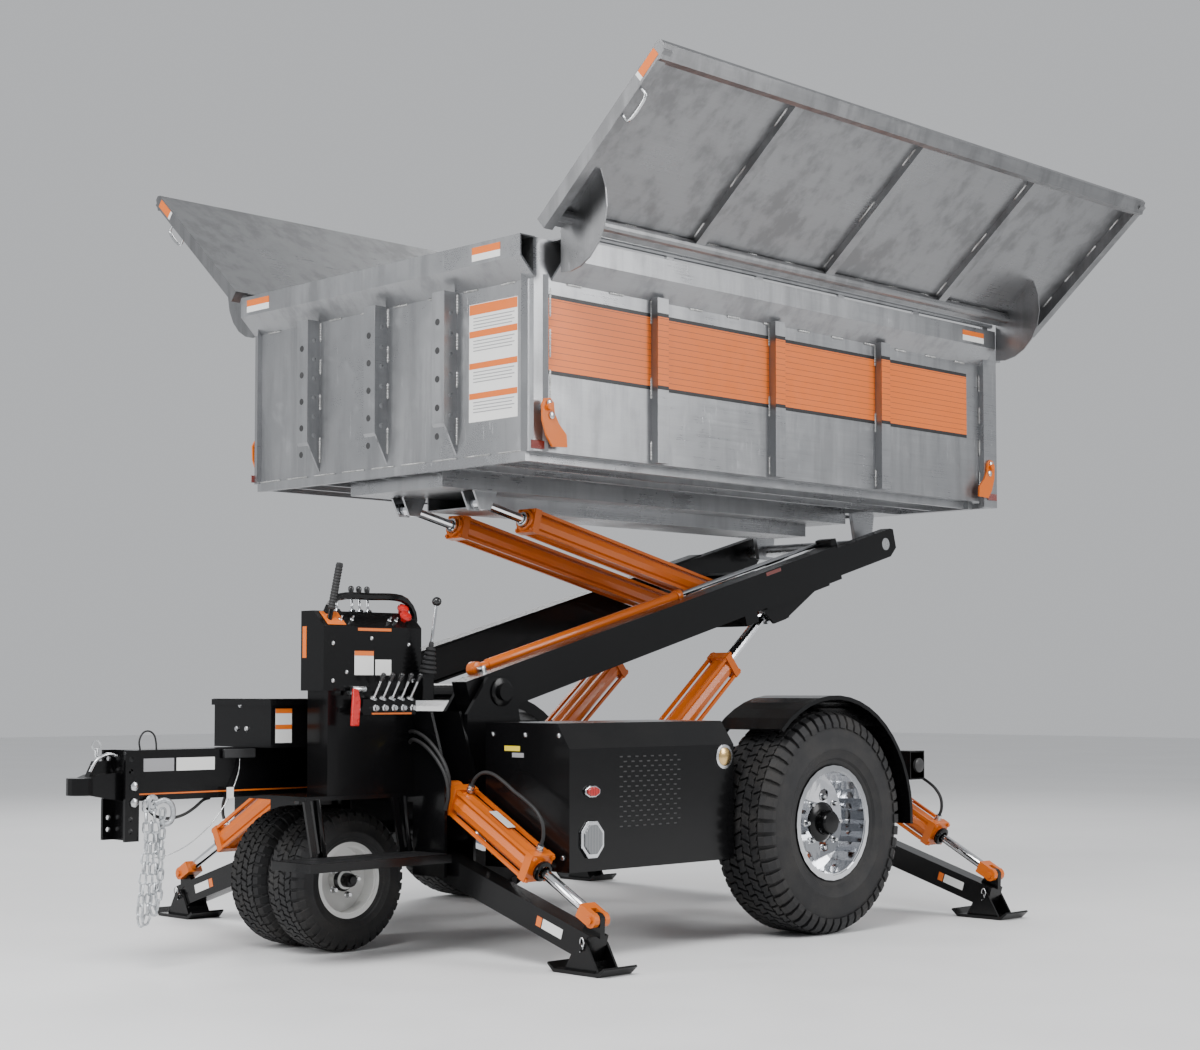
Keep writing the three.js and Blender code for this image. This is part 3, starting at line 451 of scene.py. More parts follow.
class Nodes:
    """A material's node tree with short ways to add and link nodes."""

    def __init__(self, name: str) -> None:
        """Starts an empty material with a shader and its output.

        Args:
            name: the material's name.
        """
        self.material = bpy.data.materials.new(name)
        self.material.use_nodes = True
        self.tree = self.material.node_tree
        self.shader = self.tree.nodes["Principled BSDF"]
        self.place = self.node("ShaderNodeTexCoord").outputs["Object"]

    def node(self, kind: str, **settings: Any) -> Any:
        """Adds a node and sets its plain properties.

        Args:
            kind: the node's type.
            settings: property names and values.

        Returns:
            The node.
        """
        made = self.tree.nodes.new(kind)
        for key, value in settings.items():
            setattr(made, key, value)
        return made

    def link(self, source: Any, target: Any) -> None:
        """Joins an output to an input."""
        self.tree.links.new(source, target)

    def stretched(self, scale: Point, turn: Point = (0.0, 0.0, 0.0), shift: Point = (0.0, 0.0,
            0.0)) -> Any:
        """The object coordinates scaled and turned.

        Args:
            scale: scale along each axis.
            turn: angles in radians.
            shift: offset.

        Returns:
            A vector output.
        """
        made = self.node("ShaderNodeMapping")
        made.inputs["Scale"].default_value = scale
        made.inputs["Rotation"].default_value = turn
        made.inputs["Location"].default_value = shift
        self.link(self.place, made.inputs["Vector"])
        return made.outputs["Vector"]

    def noise(self, scale: float, detail: float = 3.0, rough: float = 0.55, vector: Any = None) -> Any:
        """A noise value between 0 and 1.

        Args:
            scale: cells per metre.
            detail: octaves.
            rough: strength of the finer ones.
            vector: coordinates, or None for the object's own.

        Returns:
            A value output.
        """
        made = self.node("ShaderNodeTexNoise")
        made.inputs["Scale"].default_value = scale
        made.inputs["Detail"].default_value = detail
        made.inputs["Roughness"].default_value = rough
        self.link(vector if vector is not None else self.place, made.inputs["Vector"])
        return made.outputs["Fac"]

    def cells(self, scale: float, vector: Any = None, feature: str = "F1",
            output: str = "Distance") -> Any:
        """A cell pattern.

        Args:
            scale: cells per metre.
            vector: coordinates, or None for the object's own.
            feature: which distance.
            output: which output.

        Returns:
            That output.
        """
        made = self.node("ShaderNodeTexVoronoi", feature=feature)
        made.inputs["Scale"].default_value = scale
        self.link(vector if vector is not None else self.place, made.inputs["Vector"])
        return made.outputs[output]

    def ramp(self, value: Any, low: float, high: float, out_low: float = 0.0,
            out_high: float = 1.0) -> Any:
        """Maps a value's range to another, held at both ends.

        Args:
            value: the output to map.
            low: value mapped to out_low.
            high: value mapped to out_high.
            out_low: result at low.
            out_high: result at high.

        Returns:
            A value output.
        """
        made = self.node("ShaderNodeMapRange")
        made.interpolation_type = "SMOOTHSTEP"
        for key, number in (("From Min", low), ("From Max", high), ("To Min", out_low), ("To Max",
                out_high)):
            made.inputs[key].default_value = number
        self.link(value, made.inputs["Value"])
        return made.outputs["Result"]

    def maths(self, operation: str, a: Any, b: Any) -> Any:
        """One arithmetic step.

        Args:
            operation: such as MULTIPLY.
            a: an output or a number.
            b: an output or a number.

        Returns:
            A value output.
        """
        made = self.node("ShaderNodeMath", operation=operation)
        for socket, value in zip(made.inputs, (a, b)):
            if isinstance(value, (int, float)):
                socket.default_value = value
            else:
                self.link(value, socket)
        return made.outputs[0]

    def mixed(self, share: Any, a: Any, b: Any) -> Any:
        """Two colours mixed by a share.

        Args:
            share: a value output.
            a: colour or output at 0.
            b: colour or output at 1.

        Returns:
            A colour output.
        """
        made = self.node("ShaderNodeMix", data_type="RGBA")
        self.link(share, made.inputs[0])
        for socket, value in ((made.inputs[6], a), (made.inputs[7], b)):
            if isinstance(value, tuple):
                socket.default_value = (*value, 1.0)
            else:
                self.link(value, socket)
        return made.outputs[2]

    def height(self, value: Any, depth: float, before: Any = None) -> Any:
        """A bump from a height.

        Args:
            value: the height, 0 to 1.
            depth: its depth in metres.
            before: a bump to add to.

        Returns:
            A normal output.
        """
        made = self.node("ShaderNodeBump")
        made.inputs["Strength"].default_value = 1.0
        made.inputs["Distance"].default_value = depth
        self.link(value, made.inputs["Height"])
        if before is not None:
            self.link(before, made.inputs["Normal"])
        return made.outputs["Normal"]

    def set(self, **values: Any) -> None:
        """Sets or links the shader's inputs by name, with underscores for spaces.

        Args:
            values: numbers, colours or outputs.
        """
        for key, value in values.items():
            socket = self.shader.inputs[key.replace("_", " ")]
            if isinstance(value, tuple):
                socket.default_value = (*value, 1.0) if len(value) == 3 else value
            elif isinstance(value, (int, float)):
                socket.default_value = value
            else:
                self.link(value, socket)

    def upness(self) -> Any:
        """How far the surface faces up, from -1 to 1."""
        split = self.node("ShaderNodeSeparateXYZ")
        self.link(self.node("ShaderNodeNewGeometry").outputs["Normal"], split.inputs[0])
        return split.outputs["Z"]


@dataclass(frozen=True)
class Paint:
    """Sprayed or powder coated paint with orange peel, dust on top and faint scuffs."""

    name: str
    colour: tuple[float, float, float]
    rough: float = 0.22
    coat: float = 0.35
    peel: float = 0.00012
    dust: float = 0.25
    dust_colour: tuple[float, float, float] = (0.20, 0.18, 0.155)
    metallic: float = 0.0
    shine: float = 0.5

    def make(self) -> bpy.types.Material:
        """Builds the material."""
        n = Nodes(self.name)
        cloud = n.noise(3.0, 5.0)
        fleck = n.noise(95.0, 4.0, 0.7)
        lying = n.ramp(n.upness(), 0.2, 0.95)
        film = n.maths("MULTIPLY", n.ramp(cloud, 0.35, 0.7, 0.25, 1.0), n.ramp(fleck, 0.3, 0.7, 0.45,
                1.0))
        dusty = n.maths("MULTIPLY", n.maths("ADD", n.maths("MULTIPLY", lying, 0.85), 0.1), film)
        share = n.maths("MULTIPLY", dusty, self.dust)
        darker = tuple(c * 0.86 for c in self.colour)
        base = n.mixed(n.ramp(n.noise(1.4, 3.0), 0.3, 0.7), self.colour, darker)
        scuff = n.ramp(n.noise(26.0, 5.0, 0.75, n.stretched((1.0, 1.0, 6.0))), 0.66, 0.76)
        n.set(
            Base_Color=n.mixed(share, base, self.dust_colour),
            Roughness=n.maths("ADD", n.ramp(share, 0.0, 0.4, self.rough, self.rough + 0.35),
                    n.maths("MULTIPLY", scuff, 0.12)),
            Metallic=self.metallic,
            Specular_IOR_Level=self.shine,
            Coat_Weight=self.coat,
            Coat_Roughness=0.08,
            Normal=n.height(n.noise(420.0, 2.0), self.peel, n.height(n.noise(18.0, 2.0),
                    self.peel * 3.0)),
        )
        return n.material


class Grain(Enum):
    """The way rolled or brushed marks run on a sheet."""

    ALONG_X = (0.6, 60.0, 60.0)
    ALONG_Y = (60.0, 0.6, 60.0)
    ALONG_Z = (60.0, 60.0, 0.6)


@dataclass(frozen=True)
class Mill:
    """Mill finish aluminium sheet: rolled marks, cloudy stains and light scratches."""

    name: str
    colour: tuple[float, float, float] = (0.80, 0.81, 0.82)
    rough: float = 0.36
    grain: Grain = Grain.ALONG_X
    stain: float = 0.5

    def make(self) -> bpy.types.Material:
        """Builds the material."""
        n = Nodes(self.name)
        marks = n.noise(4.0, 6.0, 0.65, n.stretched(self.grain.value))
        cloud = n.noise(2.6, 6.0, 0.62)
        drips = n.noise(1.6, 5.0, 0.6, n.stretched((9.0, 9.0, 0.9)))
        hand = n.ramp(n.noise(7.0, 6.0, 0.7), 0.56, 0.72)
        stained = n.maths("MULTIPLY", n.ramp(n.maths("MULTIPLY", drips, cloud), 0.2, 0.36), self.stain)
        darker = tuple(c * 0.62 for c in self.colour)
        light = tuple(min(1.0, c * 1.07) for c in self.colour)
        base = n.mixed(n.ramp(marks, 0.3, 0.7), self.colour, light)
        base = n.mixed(stained, base, darker)
        rough = n.maths("ADD", n.ramp(cloud, 0.3, 0.7, self.rough - 0.07, self.rough + 0.09),
                n.maths("MULTIPLY", hand, 0.1))
        scratch = n.ramp(n.noise(3.0, 2.0, 0.5, n.stretched((40.0, 40.0, 1.5), (0.5, 0.4, 0.2))), 0.68,
                0.72)
        n.set(
            Base_Color=base,
            Metallic=0.93,
            Roughness=n.maths("ADD", rough, n.maths("MULTIPLY", n.ramp(marks, 0.2, 0.8), 0.08)),
            Normal=n.height(marks, 0.00007, n.height(scratch, 0.00012,
                    n.height(n.noise(2.2, 2.0), 0.0035))),
        )
        return n.material


@dataclass(frozen=True)
class Plating:
    """Bright plating or polished metal with fine wipe marks."""

    name: str
    colour: tuple[float, float, float] = (0.86, 0.87, 0.88)
    rough: float = 0.06
    grime: float = 0.15

    def make(self) -> bpy.types.Material:
        """Builds the material."""
        n = Nodes(self.name)
        wipe = n.noise(14.0, 5.0, 0.7)
        dirt = n.ramp(n.noise(5.0, 5.0, 0.65), 0.52, 0.78)
        base = n.mixed(n.maths("MULTIPLY", dirt, self.grime), self.colour, (0.30, 0.27, 0.23))
        n.set(
            Base_Color=base,
            Metallic=1.0,
            Roughness=n.maths("ADD", n.ramp(wipe, 0.3, 0.7, self.rough, self.rough + 0.07),
                    n.maths("MULTIPLY", dirt, self.grime)),
            Normal=n.height(n.noise(60.0, 3.0), 0.00004),
        )
        return n.material


@dataclass(frozen=True)
class Galvanised:
    """Zinc with its spangle and dull white bloom."""

    name: str
    colour: tuple[float, float, float] = (0.56, 0.58, 0.60)
    rough: float = 0.38

    def make(self) -> bpy.types.Material:
        """Builds the material."""
        n = Nodes(self.name)
        spangle = n.cells(140.0, output="Color")
        grey = n.node("ShaderNodeRGBToBW")
        n.link(spangle, grey.inputs[0])
        tone = n.ramp(grey.outputs[0], 0.1, 0.9)
        darker = tuple(c * 0.72 for c in self.colour)
        bloom = n.ramp(n.noise(12.0, 5.0, 0.7), 0.5, 0.75, 0.0, 0.5)
        base = n.mixed(bloom, n.mixed(tone, darker, self.colour), (0.66, 0.67, 0.67))
        n.set(
            Base_Color=base,
            Metallic=0.85,
            Roughness=n.ramp(tone, 0.0, 1.0, self.rough, self.rough + 0.2),
            Normal=n.height(n.noise(160.0, 3.0), 0.0001),
        )
        return n.material


@dataclass(frozen=True)
class Rubber:
    """Moulded rubber, dusty where it is rough, with a soft sheen."""

    name: str
    colour: tuple[float, float, float] = (0.018, 0.018, 0.019)
    dust_colour: tuple[float, float, float] = (0.115, 0.105, 0.092)
    dust: float = 0.45
    rough: float = 0.62

    def make(self) -> bpy.types.Material:
        """Builds the material."""
        n = Nodes(self.name)
        cloud = n.ramp(n.noise(7.0, 6.0, 0.65), 0.38, 0.72)
        grit = n.ramp(n.noise(140.0, 4.0, 0.7), 0.35, 0.7)
        share = n.maths("MULTIPLY", n.maths("MULTIPLY", cloud,
                n.maths("ADD", n.maths("MULTIPLY", grit, 0.6), 0.4)), self.dust)
        n.set(
            Base_Color=n.mixed(share, self.colour, self.dust_colour),
            Roughness=n.ramp(share, 0.0, 0.4, self.rough, 0.92),
            Specular_IOR_Level=0.35,
            Normal=n.height(n.noise(320.0, 4.0, 0.7), 0.00025),
        )
        return n.material


@dataclass(frozen=True)
class Plastic:
    """Moulded or cast plastic with a fine grain."""

    name: str
    colour: tuple[float, float, float]
    rough: float = 0.42
    grain: float = 0.00008
    glow: float = 0.0

    def make(self) -> bpy.types.Material:
        """Builds the material."""
        n = Nodes(self.name)
        worn = tuple(min(1.0, c * 1.25 + 0.015) for c in self.colour)
        cloud = n.noise(30.0, 4.0, 0.6)
        n.set(
            Base_Color=n.mixed(n.ramp(cloud, 0.45, 0.75, 0.0, 0.7), self.colour, worn),
            Roughness=n.ramp(cloud, 0.3, 0.7, self.rough - 0.05, self.rough + 0.1),
            Normal=n.height(n.noise(700.0, 2.0), self.grain),
            Coat_Weight=0.15,
        )
        return n.material


@dataclass(frozen=True)
class TreadPlate:
    """Aluminium or painted plate with raised diamonds pressed into it."""

    name: str
    colour: tuple[float, float, float]
    metallic: float = 0.0
    rough: float = 0.35
    pitch: float = 26.0

    def make(self) -> bpy.types.Material:
        """Builds the material."""
        n = Nodes(self.name)
        heights = []
        for turn, shift in ((math.radians(45), 0.0), (math.radians(-45), 0.5)):
            bars = n.stretched((self.pitch, self.pitch * 2.6, 1.0), (0.0, 0.0, turn), (shift, 0.0, 0.0))
            split = n.node("ShaderNodeSeparateXYZ")
            n.link(bars, split.inputs[0])
            u = n.maths("PINGPONG", split.outputs["X"], 0.5)
            v = n.maths("PINGPONG", split.outputs["Y"], 0.5)
            heights.append(n.ramp(n.maths("ADD", n.maths("MULTIPLY", u, 1.4), n.maths("MULTIPLY", v,
                    1.9)), 0.62, 0.48))
        bump = n.maths("MAXIMUM", heights[0], heights[1])
        worn = tuple(min(1.0, c * 1.5 + 0.04) for c in self.colour)
        n.set(
            Base_Color=n.mixed(n.maths("MULTIPLY", bump, 0.45), self.colour, worn),
            Metallic=self.metallic,
            Roughness=n.ramp(n.noise(20.0, 4.0), 0.3, 0.7, self.rough, self.rough + 0.15),
            Normal=n.height(bump, 0.0012, n.height(n.noise(260.0, 2.0), 0.0001)),
        )
        return n.material


@dataclass(frozen=True)
class Lens:
    """A moulded lamp lens with fine ribs, its colour darkened in the grooves between them as painted shade."""

    name: str
    colour: tuple[float, float, float]
    ribs: float = 260.0
    rough: float = 0.08

    def make(self) -> bpy.types.Material:
        """Builds the material."""
        n = Nodes(self.name)
        wave = n.node("ShaderNodeTexWave", bands_direction="X")
        wave.inputs["Scale"].default_value = self.ribs / 10.0
        n.link(n.place, wave.inputs["Vector"])
        # dark: the lens colour dimmed where the ribs' bump is lowest, painted shade in the grooves.
        dark = tuple(c * 0.45 for c in self.colour)
        n.set(
            Base_Color=n.mixed(wave.outputs["Fac"], dark, self.colour),
            Roughness=n.ramp(n.noise(40.0, 3.0), 0.3, 0.7, self.rough, self.rough + 0.08),
            Coat_Weight=0.8,
            Normal=n.height(wave.outputs["Fac"], 0.0006),
        )
        return n.material


@dataclass(frozen=True)
class Print:
    """Printed vinyl: one flat ink on film, a little worn."""

    name: str
    colour: tuple[float, float, float]
    rough: float = 0.32

    def make(self) -> bpy.types.Material:
        """Builds the material."""
        n = Nodes(self.name)
        fade = n.ramp(n.noise(9.0, 5.0, 0.65), 0.45, 0.8, 0.0, 0.12)
        paler = tuple(c * 0.8 + 0.06 for c in self.colour)
        n.set(
            Base_Color=n.mixed(fade, self.colour, paler),
            Roughness=n.ramp(n.noise(50.0, 3.0), 0.3, 0.7, self.rough, self.rough + 0.12),
            Coat_Weight=0.3,
            Normal=n.height(n.noise(240.0, 2.0), 0.00004),
        )
        return n.material


@dataclass(frozen=True)
class WeldBead:
    """Rippled weld metal with a heat tint along it."""

    name: str
    colour: tuple[float, float, float]
    metallic: float = 1.0

    def make(self) -> bpy.types.Material:
        """Builds the material."""
        n = Nodes(self.name)
        ripple = n.node("ShaderNodeTexWave", bands_direction="DIAGONAL")
        ripple.inputs["Scale"].default_value = 60.0
        ripple.inputs["Distortion"].default_value = 2.0
        n.link(n.place, ripple.inputs["Vector"])
        darker = tuple(c * 0.6 for c in self.colour)
        n.set(
            Base_Color=n.mixed(n.ramp(n.noise(30.0, 4.0), 0.35, 0.7), self.colour, darker),
            Metallic=self.metallic,
            Roughness=n.ramp(ripple.outputs["Fac"], 0.0, 1.0, 0.3, 0.5),
            Normal=n.height(ripple.outputs["Fac"], 0.0009),
        )
        return n.material


@dataclass
class Palette:
    """Every finish on the trailer, each built once when it is first used."""

    made: dict[str, bpy.types.Material] = field(default_factory=dict)

    BLACK = Paint("gloss_black", (0.0030, 0.0030, 0.0034), 0.20, 0.12, dust=0.05, shine=0.22)
    BLACK_ARM = Paint("arm_black", (0.0032, 0.0032, 0.0036), 0.24, 0.10, dust=0.06, shine=0.22)
    ORANGE = Paint("orange_paint", (0.66, 0.135, 0.006), 0.28, 0.2, dust=0.06, shine=0.35)
    WHITE = Paint("rim_white", (0.72, 0.72, 0.70), 0.30, 0.3, dust=0.35)
    SHEET = Mill("mill_sheet", (0.36, 0.365, 0.375), 0.30, stain=0.55)
    RAIL = Mill("mill_rail", (0.40, 0.405, 0.415), 0.27, Grain.ALONG_X, 0.4)
    RIB = Mill("mill_rib", (0.43, 0.435, 0.445), 0.28, Grain.ALONG_Z, 0.4)
    WING = Mill("mill_wing", (0.27, 0.272, 0.278), 0.30, Grain.ALONG_X, 0.65)
    BEAD = WeldBead("aluminium_weld", (0.62, 0.62, 0.61))
    CHROME = Plating("chrome", (0.62, 0.63, 0.65), 0.05, 0.15)
    ROD = Plating("rod_chrome", (0.80, 0.81, 0.83), 0.07, 0.2)
    STEEL = Plating("zinc_steel", (0.62, 0.63, 0.64), 0.22, 0.35)
    GOLD = Plating("yellow_zinc", (0.72, 0.50, 0.22), 0.20, 0.25)
    ZINC = Galvanised("galvanised")
    TYRE = Rubber("tyre_rubber", (0.012, 0.012, 0.013), dust=0.26)
    HOSE = Rubber("hose_rubber", (0.016, 0.016, 0.017), dust=0.2, rough=0.5)
    GRIP = Rubber("grip_rubber", (0.02, 0.02, 0.021), dust=0.15, rough=0.55)
    KNOB = Plastic("black_knob", (0.014, 0.014, 0.015), 0.25)
    RED = Plastic("red_plastic", (0.50, 0.012, 0.010), 0.25)
    # This black finish also colours the discs in the ribs' stake holes, where its black is painted shade.
    BLACK_PLASTIC = Plastic("black_plastic", (0.02, 0.02, 0.021), 0.5)
    YELLOW_TAG = Print("yellow_tag", (0.80, 0.62, 0.04))
    ORANGE_FILM = Print("orange_film", (0.72, 0.145, 0.006))
    BLACK_FILM = Print("black_film", (0.005, 0.005, 0.006))
    WHITE_FILM = Print("white_film", (0.78, 0.78, 0.76))
    GREY_FILM = Print("grey_film", (0.30, 0.30, 0.31))
    TREAD = TreadPlate("tread_plate", (0.004, 0.004, 0.005))
    RED_LENS = Lens("red_lens", (0.55, 0.015, 0.012))
    CLEAR_LENS = Lens("clear_lens", (0.20, 0.21, 0.22), 420.0)
    DARK_RED = Lens("reflector", (0.24, 0.03, 0.02), 600.0, 0.2)

    def get(self, finish: Any) -> bpy.types.Material:
        """The material of a finish, built once.

        Args:
            finish: one of the finishes above.

        Returns:
            Its material.
        """
        if finish.name not in self.made:
            self.made[finish.name] = finish.make()
        return self.made[finish.name]


PALETTE = Palette()


class Slot(Enum):
    """The record's material slots."""

    BLACK = "gloss_black"
    ORANGE = "orange_paint"
    MILL = "mill_aluminium"
    CHROME = "chrome"
    TYRE = "tyre_rubber"
    WHITE = "white_rim"
    ZINC = "zinc_plate"


def fit(piece: Piece, name: str, finish: Any, body: str, slot: Slot, *replaced: str) -> Piece:
    """Names a finished piece, gives it its finish and hangs it on its body.

    Args:
        piece: the object.
        name: its name.
        finish: its finish.
        body: the body it rides on.
        slot: the record's slot it stands for; not used.
        replaced: frame nodes it stands for.

    Returns:
        The same object.
    """
    piece.name = name
    piece.data.name = name
    piece.data.materials.clear()
    piece.data.materials.append(PALETTE.get(finish))
    for face in piece.data.polygons:
        face.material_index = 0
    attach(piece, body)
    if replaced:
        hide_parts(*replaced)
    LOG.info("%s on %s", name, body)
    return piece


def laid(points: Sequence[Point], radius: float, name: str, finish: Any,
         body: str = "chassis") -> Piece:
    """A free cable or hose along a given route.

    Args:
        points: the points it passes.
        radius: in metres.
        name: its name.
        finish: its finish.
        body: the body it rides on.

    Returns:
        The cable.
    """
    piece = fit(pipe(points, radius, 6, 2), name, finish, body, Slot.BLACK)
    return piece


def fit_pair(piece: Piece, name: str, finish: Any, bodies: tuple[str, str], slot: Slot) -> None:
    """Fits a piece made for the near side, and its mirror image for the far side.

    Args:
        piece: the near piece.
        name: the pair's name.
        finish: its finish.
        bodies: the near and the far body.
        slot: the record's slot.
    """
    twin = copied(piece, FLIP_Y)
    fit(piece, f"{name}_near", finish, bodies[0], slot)
    fit(twin, f"{name}_far", finish, bodies[1], slot)


# ---------------------------------------------------------------- places

TYRE_BOX: tuple[Any, Any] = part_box("rear_tyre_near")
AXLE_X: float = (TYRE_BOX[0][0] + TYRE_BOX[1][0]) / 2


def at(x: float, y: float, z: float) -> Vector:
    """A place given by its distance ahead of (negative) or behind the rear axle."""
    return Vector((x + AXLE_X, y, z))


def slab(x0: float, x1: float, y0: float, y1: float, z0: float, z1: float, edge: float = 0.0004) -> Piece:
    """A block with its X counted from the rear axle.

    Args:
        x0: its front.
        x1: its rear.
        y0: lowest Y.
        y1: highest Y.
        z0: its bottom.
        z1: its top.
        edge: width of the rounding.

    Returns:
        The new piece.
    """
    return block(at(x0, y0, z0), at(x1, y1, z1), edge)


# ---------------------------------------------------------------- studio


@dataclass
class Studio:
    """Camera, lights and the pale floor."""

    eye: tuple[float, float, float] = (-6.143, -5.961, 0.940)
    look: tuple[float, float, float] = (0.7074, 0.7052, 0.0478)
    lens: float = 60.4
    shift: float = 0.0566

    def camera(self) -> None:
        """Sets the camera."""
        data = bpy.data.cameras.new("camera")
        data.lens = self.lens
        data.sensor_width = 36.0
        data.shift_y = self.shift
        camera = bpy.data.objects.new("camera", data)
        bpy.context.scene.collection.objects.link(camera)
        camera.location = at(*self.eye)
        camera.rotation_euler = Vector(self.look).to_track_quat("-Z", "Y").to_euler()
        bpy.context.scene.camera = camera

    def lamp(self, name: str, place: Point, target: Point, size: tuple[float, float],
            power: float) -> None:
        """Adds one soft area light.

        Args:
            name: its name.
            place: where it stands.
            target: what it faces.
            size: its width and height.
            power: in watts.
        """
        data = bpy.data.lights.new(name, "AREA")
        data.shape = "RECTANGLE"
        data.size, data.size_y = size
        data.energy = power
        lamp = bpy.data.objects.new(name, data)
        bpy.context.scene.collection.objects.link(lamp)
        lamp.location = Vector(place)
        lamp.rotation_euler = (Vector(target) - Vector(place)).to_track_quat("-Z", "Y").to_euler()

    def build(self) -> None:
        """Builds the whole studio."""
        self.camera()
        world = bpy.data.worlds.new("studio")
        bpy.context.scene.world = world
        world.use_nodes = True
        sky = world.node_tree.nodes["Background"]
        sky.inputs[0].default_value = (0.90, 0.92, 0.95, 1.0)
        sky.inputs[1].default_value = 0.62
        self.lamp("key", (-5.5, -3.0, 7.5), (0, 0, 1.4), (4.0, 4.0), 760.0)
        self.lamp("side", (3.5, -7.5, 5.0), (0.3, 0, 1.6), (3.0, 5.0), 420.0)
        self.lamp("front", (-8.0, 2.5, 3.5), (-0.8, 0, 1.6), (2.0, 4.0), 260.0)
        self.lamp("back", (4.0, 6.0, 6.0), (0, 0, 1.5), (5.0, 3.0), 320.0)
        deselect()
        bpy.ops.mesh.primitive_plane_add(size=60.0, location=(0, 0, -0.0005))
        floor = bpy.context.object
        settle(floor)
        floor.name = "floor"
        n = Nodes("floor")
        pale = n.ramp(n.noise(0.7, 4.0), 0.3, 0.7, 0.0, 1.0)
        n.set(Base_Color=n.mixed(pale, (0.80, 0.80, 0.80), (0.83, 0.83, 0.83)),
                Roughness=n.ramp(n.noise(3.0), 0.3, 0.7, 0.5, 0.6))
        floor.data.materials.append(n.material)


# ---------------------------------------------------------------- frame nodes


@dataclass
class Dressing:
    """The finishes given to the frame's own nodes."""

    plain: dict[str, Any] = field(default_factory=dict)

    def build(self) -> None:
        """Dresses each visible node."""
        p = Palette
        by_start = {
            "main_frame": p.BLACK, "hitch_coupler": p.BLACK, "toolbox": p.BLACK, "control_console": p.BLACK,
            "side_cover": p.BLACK, "fender": p.BLACK, "rear_axle": p.BLACK, "platform": p.BLACK,
            "steering_fork": p.BLACK, "front_tyre": p.TYRE, "rear_tyre": p.TYRE, "front_rim": p.WHITE,
            "rear_rim": p.CHROME, "lift_arms": p.BLACK_ARM, "inner_arms": p.BLACK_ARM, "pivot_shaft": p.STEEL,
            "tilt_shaft": p.STEEL, "lift_barrel": p.ORANGE, "tilt_barrel": p.ORANGE, "lift_rod": p.ROD,
            "tilt_rod": p.ROD, "tilt_stage": p.ROD, "box_body": p.SHEET, "box_subframe": p.RAIL,
            "tailgate": p.RIB, "wing": p.WING, "latch": p.ORANGE, "outrigger_leg": p.BLACK,
            "outrigger_foot": p.BLACK, "outrigger_barrel": p.ORANGE, "outrigger_rod": p.ORANGE,
            "safety_chain": p.ZINC,
        }
        for name, node in frame["nodes"].items():
            start = max((s for s in by_start if name.startswith(s)), key=len)
            material = PALETTE.get(by_start[start])
            node.data.materials.clear()
            node.data.materials.append(material)
            LOG.info("node %s in %s", name, material.name)


# ---------------------------------------------------------------- wheels


